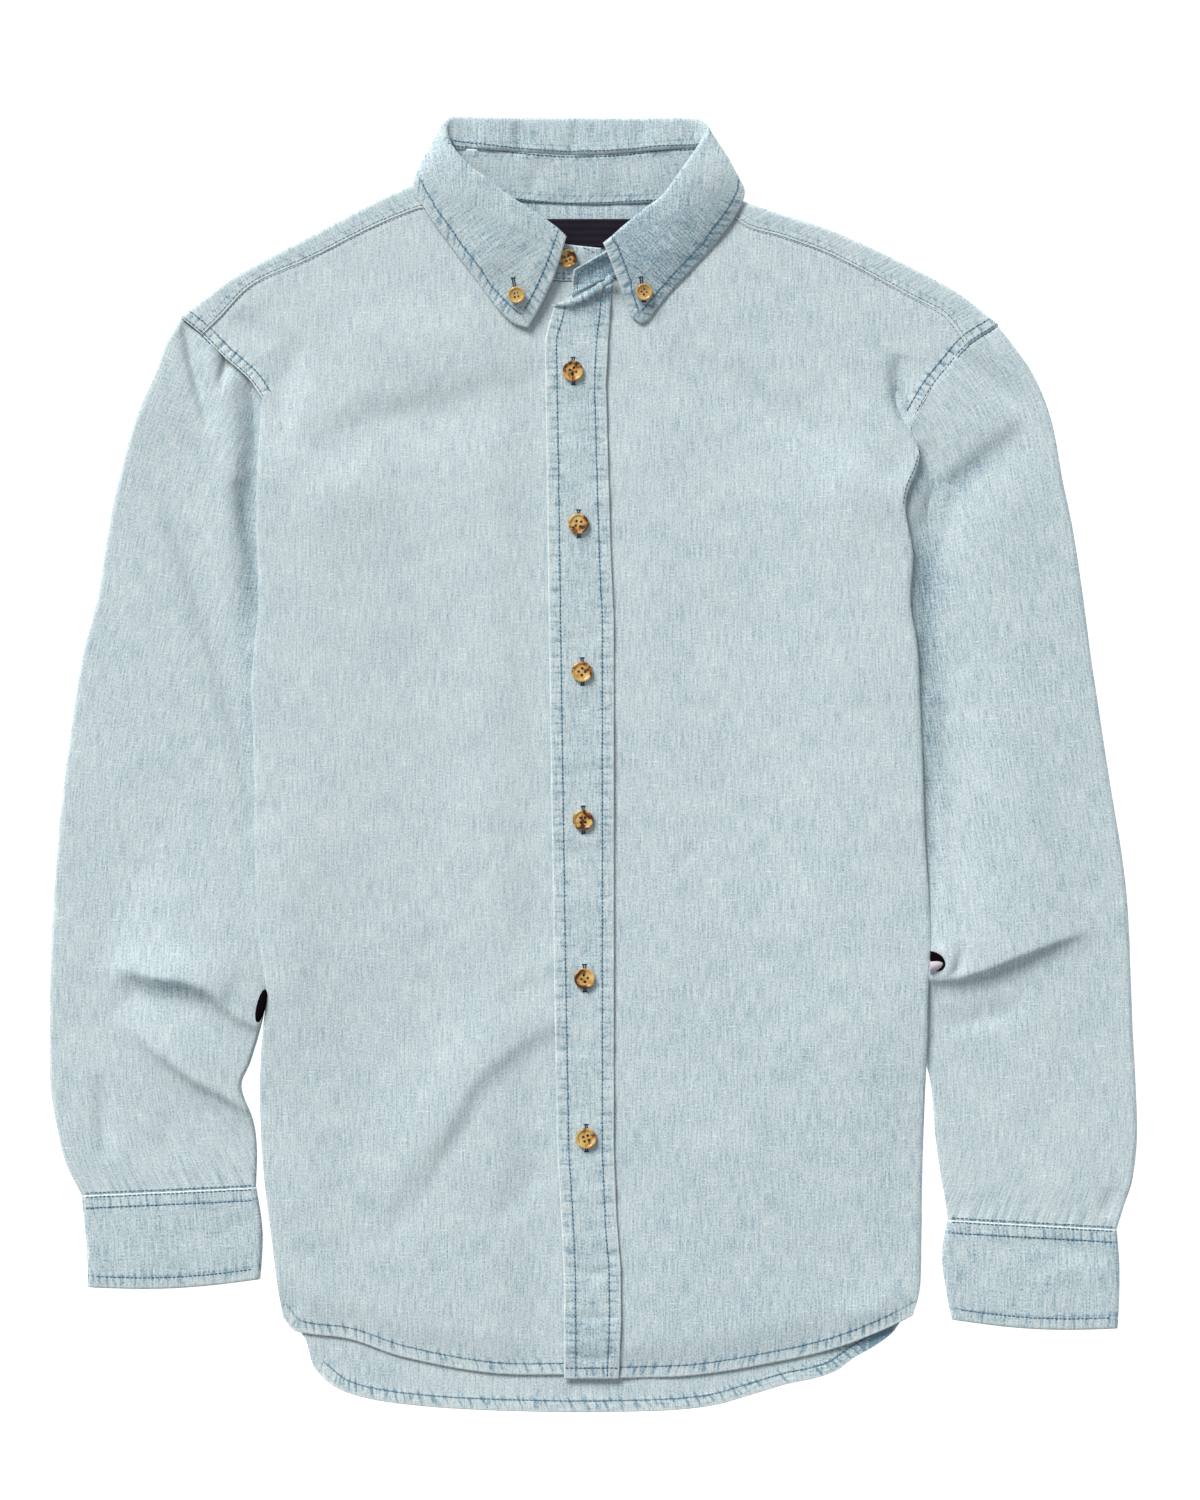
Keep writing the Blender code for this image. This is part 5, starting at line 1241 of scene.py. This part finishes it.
def stitched(name, onto, lines, gauge=THREAD, material=blue_thread, pitch=STITCH_PITCH,
             length=STITCH_LENGTH):
    """Rows of stitches on pieces of cloth, along lines that are given in plan."""
    points, faces = [], []
    rng = np.random.default_rng(len(name))
    for line in lines:
        size = length_of(curve(line, even(60)))
        count = max(int(size / pitch), 1)
        middles = (np.arange(count) + 0.5) / count
        ends = [curve(line, np.clip(middles + half / size, 0, 1))
                for half in (-length / 2, length / 2)]
        for start, end in zip(*ends):
            here = [from_above(onto, *place) for place in (start, end)]
            if None in here:
                continue
            a, b = (np.array(spot[0]) / MM for spot in here)
            along = unit(b - a)
            side = unit(np.cross(np.array(here[0][1]), along))
            top = np.cross(along, side)
            middle = (a + b) / 2 + top * gauge * 0.12 + side * rng.uniform(-STRAY, STRAY)
            shape = stitch_points * (np.linalg.norm(b - a), gauge, gauge)
            points.append(middle + shape @ np.stack([along, side, top]))
            first = len(stitch_points) * len(faces)
            faces.append([[number + first for number in face] for face in stitch_faces])
    mesh = bpy.data.meshes.new(name)
    mesh.from_pydata((np.vstack(points) * MM).tolist(), [], sum(faces, []))
    mesh.shade_smooth()
    mesh.materials.append(material)
    worn(in_scene(name, mesh))


def inside(line, distance, steps=40):
    """A line moved sideways in plan, to its left where the distance is positive."""
    points = curve(line, even(steps))
    way = unit(np.gradient(points, axis=0))
    return points + np.stack([-way[:, 1], way[:, 0]], -1) * distance


stitched("stitches_back_hem", [back], [inside(BACK_HEM[2:], HEM_WIDTH)[:-2]], FINE_THREAD)
stitched("stitches_front_hems", [front_right, front_left],
         [inside(RIGHT_HEM, HEM_WIDTH)[2:], inside(LEFT_HEM, -HEM_WIDTH)[2:]], FINE_THREAD)
ends = np.linspace(-379, 286, 60)
stitched("stitches_placket", [placket],
         [np.stack([placket_edge("free", ends) + PLACKET_SEAM_WIDTH, ends], -1),
          np.stack([placket_edge("seam", ends) - PLACKET_SEAM_WIDTH, ends], -1),
          [(-17.5, -373.5), (15.5, -373.5)]])
stitched("stitches_armholes", [front_right, front_left, yoke],
         [inside(RIGHT_ARMHOLE, -ARMHOLE_SEAM_WIDTH), inside(LEFT_ARMHOLE, ARMHOLE_SEAM_WIDTH),
          inside(RIGHT_ARMHOLE, -1.2), inside(LEFT_ARMHOLE, 1.2),
          [(202, 200), (201.3, 192), (198.6, 183.5), (193.6, 171.5), (191.6, 161)]], 0.7)
stitched("stitches_sleeve_heads", [sleeve_right, sleeve_left],
         [inside(RIGHT_ARMHOLE, 0.5)[26:], inside(LEFT_ARMHOLE, -0.5)[24:]], 0.8, length=2.8)
stitched("stitches_yoke", [front_right, front_left, yoke],
         [inside(RIGHT_YOKE_SEAM, 1.6), inside(LEFT_YOKE_SEAM, -1.6),
          inside(RIGHT_YOKE_SEAM, -1.0), inside(LEFT_YOKE_SEAM, 1.0)], 0.42)


def cuff_rows(cuts):
    """Two close rows where the cuff laps the sleeve, one below them and one at its hem."""
    rows = []
    way = math.copysign(1, cuts[0].inner_x - cuts[0].outer_x)
    for depth in (-1.2, 1.3, CUFF_SEAM_WIDTH):
        rows.append(inside([cuts[0][:2], cuts[0][2:4]], -depth * way))
    outer, inner = np.array(cuts[-1][:2]), np.array(cuts[-1][2:4])
    part = even(20)[:, None]
    bow = -CUFF_BOW * np.sin(math.pi * part) * (0, 1)
    rows.append(mix(outer, inner, part) + bow + (0, 7.0))
    return [row[1:-1] for row in rows]


stitched("stitches_cuff_right", [sleeve_right, cuff_right], cuff_rows(RIGHT_CUFF))
stitched("stitches_cuff_left", [sleeve_left, cuff_left], cuff_rows(LEFT_CUFF))
lying = edge_row[:, 1] < 362
stitched("stitches_collar", [collar_fall],
         [edge_row[lying & (edge_row[:, 0] < 0)], edge_row[lying & (edge_row[:, 0] > 0)],
          *end_rows])
stitched("stitches_stand", [collar_stand],
         [[(9, 313.8), (-8.6, 303.4), (-10, 293.6)], [(-17, 323.2), (-8, 320.8), (1, 316.8)],
          [(-26, 304.4), (-13.5, 303.6)], [(-26, 301.6), (-13.5, 300.8)]], 0.6)
stitched("stitches_neck", [collar_fall, collar_stand, yoke],
         [[(-92, 387), (-68, 384), (-50, 382), (-22, 379.8), (-2.5, 379.8), (17, 380.5),
           (43, 383), (66, 383.8)],
          [(-90, 383.5), (-68, 381), (-50, 379), (-22, 376.5), (-2.5, 376.3), (17, 377.2),
           (43, 380), (66, 381)],
          [(-51, 351), (-22, 348), (-2.5, 348), (19, 349), (40, 350)]])


# ---------------------------------------------------------------- the elbows' hollows
# Where an elbow folds against the side of the body its cloth gapes, and the eye sees into
# the dark inside the sleeve. It is painted shade: a thin black lens on each fold, and on the
# left one a grey lens, painted shadow on the table seen through the gap.

# Nothing here shines: the black lens is painted shade, the grey one painted shadow.
painted_hollow_shade = new_material("cloth_deep_in_shadow", "#100B10", 1.0, Specular_IOR_Level=0.0)
painted_table_shadow = new_material("table_in_painted_shadow", "#C8C0C8", 1.0, Specular_IOR_Level=0.0)


def hollow(name, on, middle, size, turned_by, material, cut_at=-1e3):
    """A lens lying on a sleeve, cut off where it would reach past cut_at towards -X."""
    high = from_above([on], *middle)[0].z
    bpy.ops.object.select_all(action="DESELECT")
    bpy.ops.mesh.primitive_uv_sphere_add(
        segments=24, ring_count=8, radius=1, scale=Vector(size) * MM,
        location=(middle[0] * MM, middle[1] * MM, high),
        rotation=(0, 0, math.radians(turned_by)))
    made = bpy.context.object
    made.name = name
    bpy.ops.object.transform_apply(location=True, rotation=True, scale=True)
    bpy.ops.object.shade_smooth()
    for vert in made.data.vertices:
        vert.co.x = max(vert.co.x, cut_at * MM)
    made.data.materials.append(material)
    worn(made)


hollow("elbow_hollow_right", sleeve_right, (-205.2, -149.4), (2.9, 10.8, 2.4), -14, painted_hollow_shade)
hollow("elbow_hollow_left", sleeve_left, (210.6, -121.6), (9.6, 5.8, 2.8), -20, painted_hollow_shade, 208.3)
hollow("elbow_gap_left", sleeve_left, (208.8, -124.6), (9, 3.8, 4.6), 14, painted_table_shadow, 208.2)


# ---------------------------------------------------------------- the buttons
# Turned four-hole buttons in mottled horn, polished, on dark thread: six on the placket,
# one on the stand and one on each point of the collar.

BUTTON_SIDES = 40
BUTTON_HEIGHT = 12.8 * MM                   # of the blank, whose own height is 0.19 of it
HOLE_PITCH, HOLE_RADIUS = 0.115, 0.068      # of the diameter, like all sizes of the blank
FRONT_BUTTONS = [f"button_{k}" for k in range(1, 7)]


def mottled_horn(name, dark, seed):
    """Horn turned and polished until it shines, honey coloured, with brown clouds about 7 mm
    across. dark says how much of it they cover."""
    horn = new_material(name, "#C79A52", 0.18, Coat_Weight=0.4, Coat_Roughness=0.05)
    place = add(horn, "TexCoord").outputs["Object"]
    mottle = add(horn, "TexNoise", {"Vector": place, "W": seed, "Scale": 1 / (7 * MM),
                                    "Detail": 2.0, "Roughness": 0.6, "Distortion": 0.8},
                 noise_dimensions="4D")
    coloured(horn, mottle.outputs[0],
             [(0.0, "#2E140C"), (dark, "#4A2413"), (dark + 0.05, "#8F5A2A"),
              (dark + 0.11, "#C4964F"), (0.66, "#D8B873"), (1.0, "#E6CF98")])
    return horn


horn = mottled_horn("polished_mottled_horn", 0.41, 2.0)
pale_horn = mottled_horn("polished_pale_horn", 0.27, 5.0)
navy_thread = new_material("navy_button_thread", "#26314F", 0.75)

bpy.ops.object.select_all(action="DESELECT")
bpy.ops.mesh.primitive_cylinder_add(vertices=BUTTON_SIDES, radius=0.5, depth=0.19)
turned = bpy.context.object
turned.name = "button_blank"


def edit(item, kind, wanted):
    """Enters edit mode with only the wanted faces or edges of an item selected."""
    bpy.ops.object.mode_set(mode="EDIT")
    shape = bmesh.from_edit_mesh(item.data)
    shape.select_mode = {kind}
    for part in (*shape.verts, *shape.edges, *shape.faces):
        part.select = False
    for part in shape.faces if kind == "FACE" else shape.edges:
        part.select = wanted(part)
    shape.select_flush_mode()
    bmesh.update_edit_mesh(item.data)


def ring(inner, outer, sharpness):
    """Says of an edge whether it lies between two radii and is at least so sharp."""
    return lambda edge: (all(inner < math.hypot(*vert.co.xy) < outer for vert in edge.verts)
                         and edge.calc_face_angle(0) > sharpness)


# The dish inside the rim, then the round of the outer edges and that of the dish's edges.
edit(turned, "FACE", lambda face: face.normal.z > 0.9)
bpy.ops.mesh.inset(thickness=0.095)
bpy.ops.mesh.inset(thickness=0.05)
bpy.ops.transform.translate(value=(0, 0, -0.055))
bpy.ops.object.mode_set(mode="OBJECT")
edit(turned, "EDGE", ring(0.49, 0.51, 1))
bpy.ops.mesh.bevel(offset=0.045, segments=4, profile=0.6)
bpy.ops.object.mode_set(mode="OBJECT")
edit(turned, "EDGE", ring(0.3, 0.42, 0.3))
bpy.ops.mesh.bevel(offset=0.018, segments=2)
bpy.ops.object.mode_set(mode="OBJECT")
for sx, sy in ((1, 1), (-1, 1), (-1, -1), (1, -1)):
    bpy.ops.mesh.primitive_cylinder_add(vertices=14, radius=HOLE_RADIUS, depth=1,
                                        location=(sx * HOLE_PITCH, sy * HOLE_PITCH, 0))
    drill = bpy.context.object
    bpy.ops.object.select_all(action="DESELECT")
    bpy.context.view_layer.objects.active = turned
    turned.select_set(True)
    cut = turned.modifiers.new("hole", "BOOLEAN")
    cut.operation, cut.object, cut.solver = "DIFFERENCE", drill, "EXACT"
    bpy.ops.object.modifier_apply(modifier="hole")
    bpy.data.objects.remove(drill)
bpy.ops.object.shade_smooth_by_angle(angle=math.radians(35))


def middle_of(node):
    """The middle of a node in plan, in millimetres."""
    low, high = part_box(node)
    return (low + high).xy / 2 / MM


def button(name, turned_by, normal=(0, 0, 1), material=horn):
    """A button in place of its node, turned about its own axis and square to the cloth."""
    low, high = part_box(name)
    centre = (low + high) / 2
    facing = Vector(normal).normalized()
    diameter = (high.x - low.x) / math.sqrt(1 - facing.x ** 2)
    made = in_scene(name + "_turned", turned.data.copy())
    square = Vector((0, 0, 1)).rotation_difference(facing).to_matrix().to_4x4()
    made.data.transform(Matrix.Translation(centre) @ square @ Matrix.Rotation(turned_by, 4, "Z")
                        @ Matrix.Diagonal((diameter, diameter, BUTTON_HEIGHT, 1)))
    made.data.materials.append(material)
    worn(made, name)


for k, name in enumerate(FRONT_BUTTONS):
    button(name, 0.5 + 0.9 * k)
button("button_band", 0.4, (-0.1, -0.2, 0.95))
for name, turned_by in (("button_tip_right", 0.2), ("button_tip_left", 0.7)):
    button(name, turned_by, from_above([collar_fall], *middle_of(name))[1], pale_horn)
bpy.data.objects.remove(turned)


# ---------------------------------------------------------------- the buttonholes
# Worked close in navy thread: upright on the placket, where both ends show past the
# buttons, and on the collar's points, where one end shows above each button.

LIP = 0.6                  # from the middle of a buttonhole to its lips
HALF_BAR = 1.6


def buttonhole(start, end):
    """The worked lips of a buttonhole and the bars across its ends."""
    start, end = np.array(start), np.array(end)
    way = unit(end - start)
    side = np.array([-way[1], way[0]])
    lips = [[start + side * LIP, end + side * LIP], [start - side * LIP, end - side * LIP]]
    bars = [[place - side * HALF_BAR, place + side * HALF_BAR] for place in (start, end)]
    return lips + bars


on_placket = []
for x, y in map(middle_of, FRONT_BUTTONS):
    on_placket += buttonhole((x, y + 8.6), (x + 0.3, y - 8.3))
on_points = (buttonhole((-49.4, 300.8), (-47.4, 287.5))
             + buttonhole((29.6, 301.2), (31.4, 286.2)))
for name, onto, lines in (("buttonholes_placket", placket, on_placket),
                          ("buttonholes_points", collar_fall, on_points)):
    stitched(name, [onto], lines, 0.85, navy_thread, pitch=0.6, length=0.75)
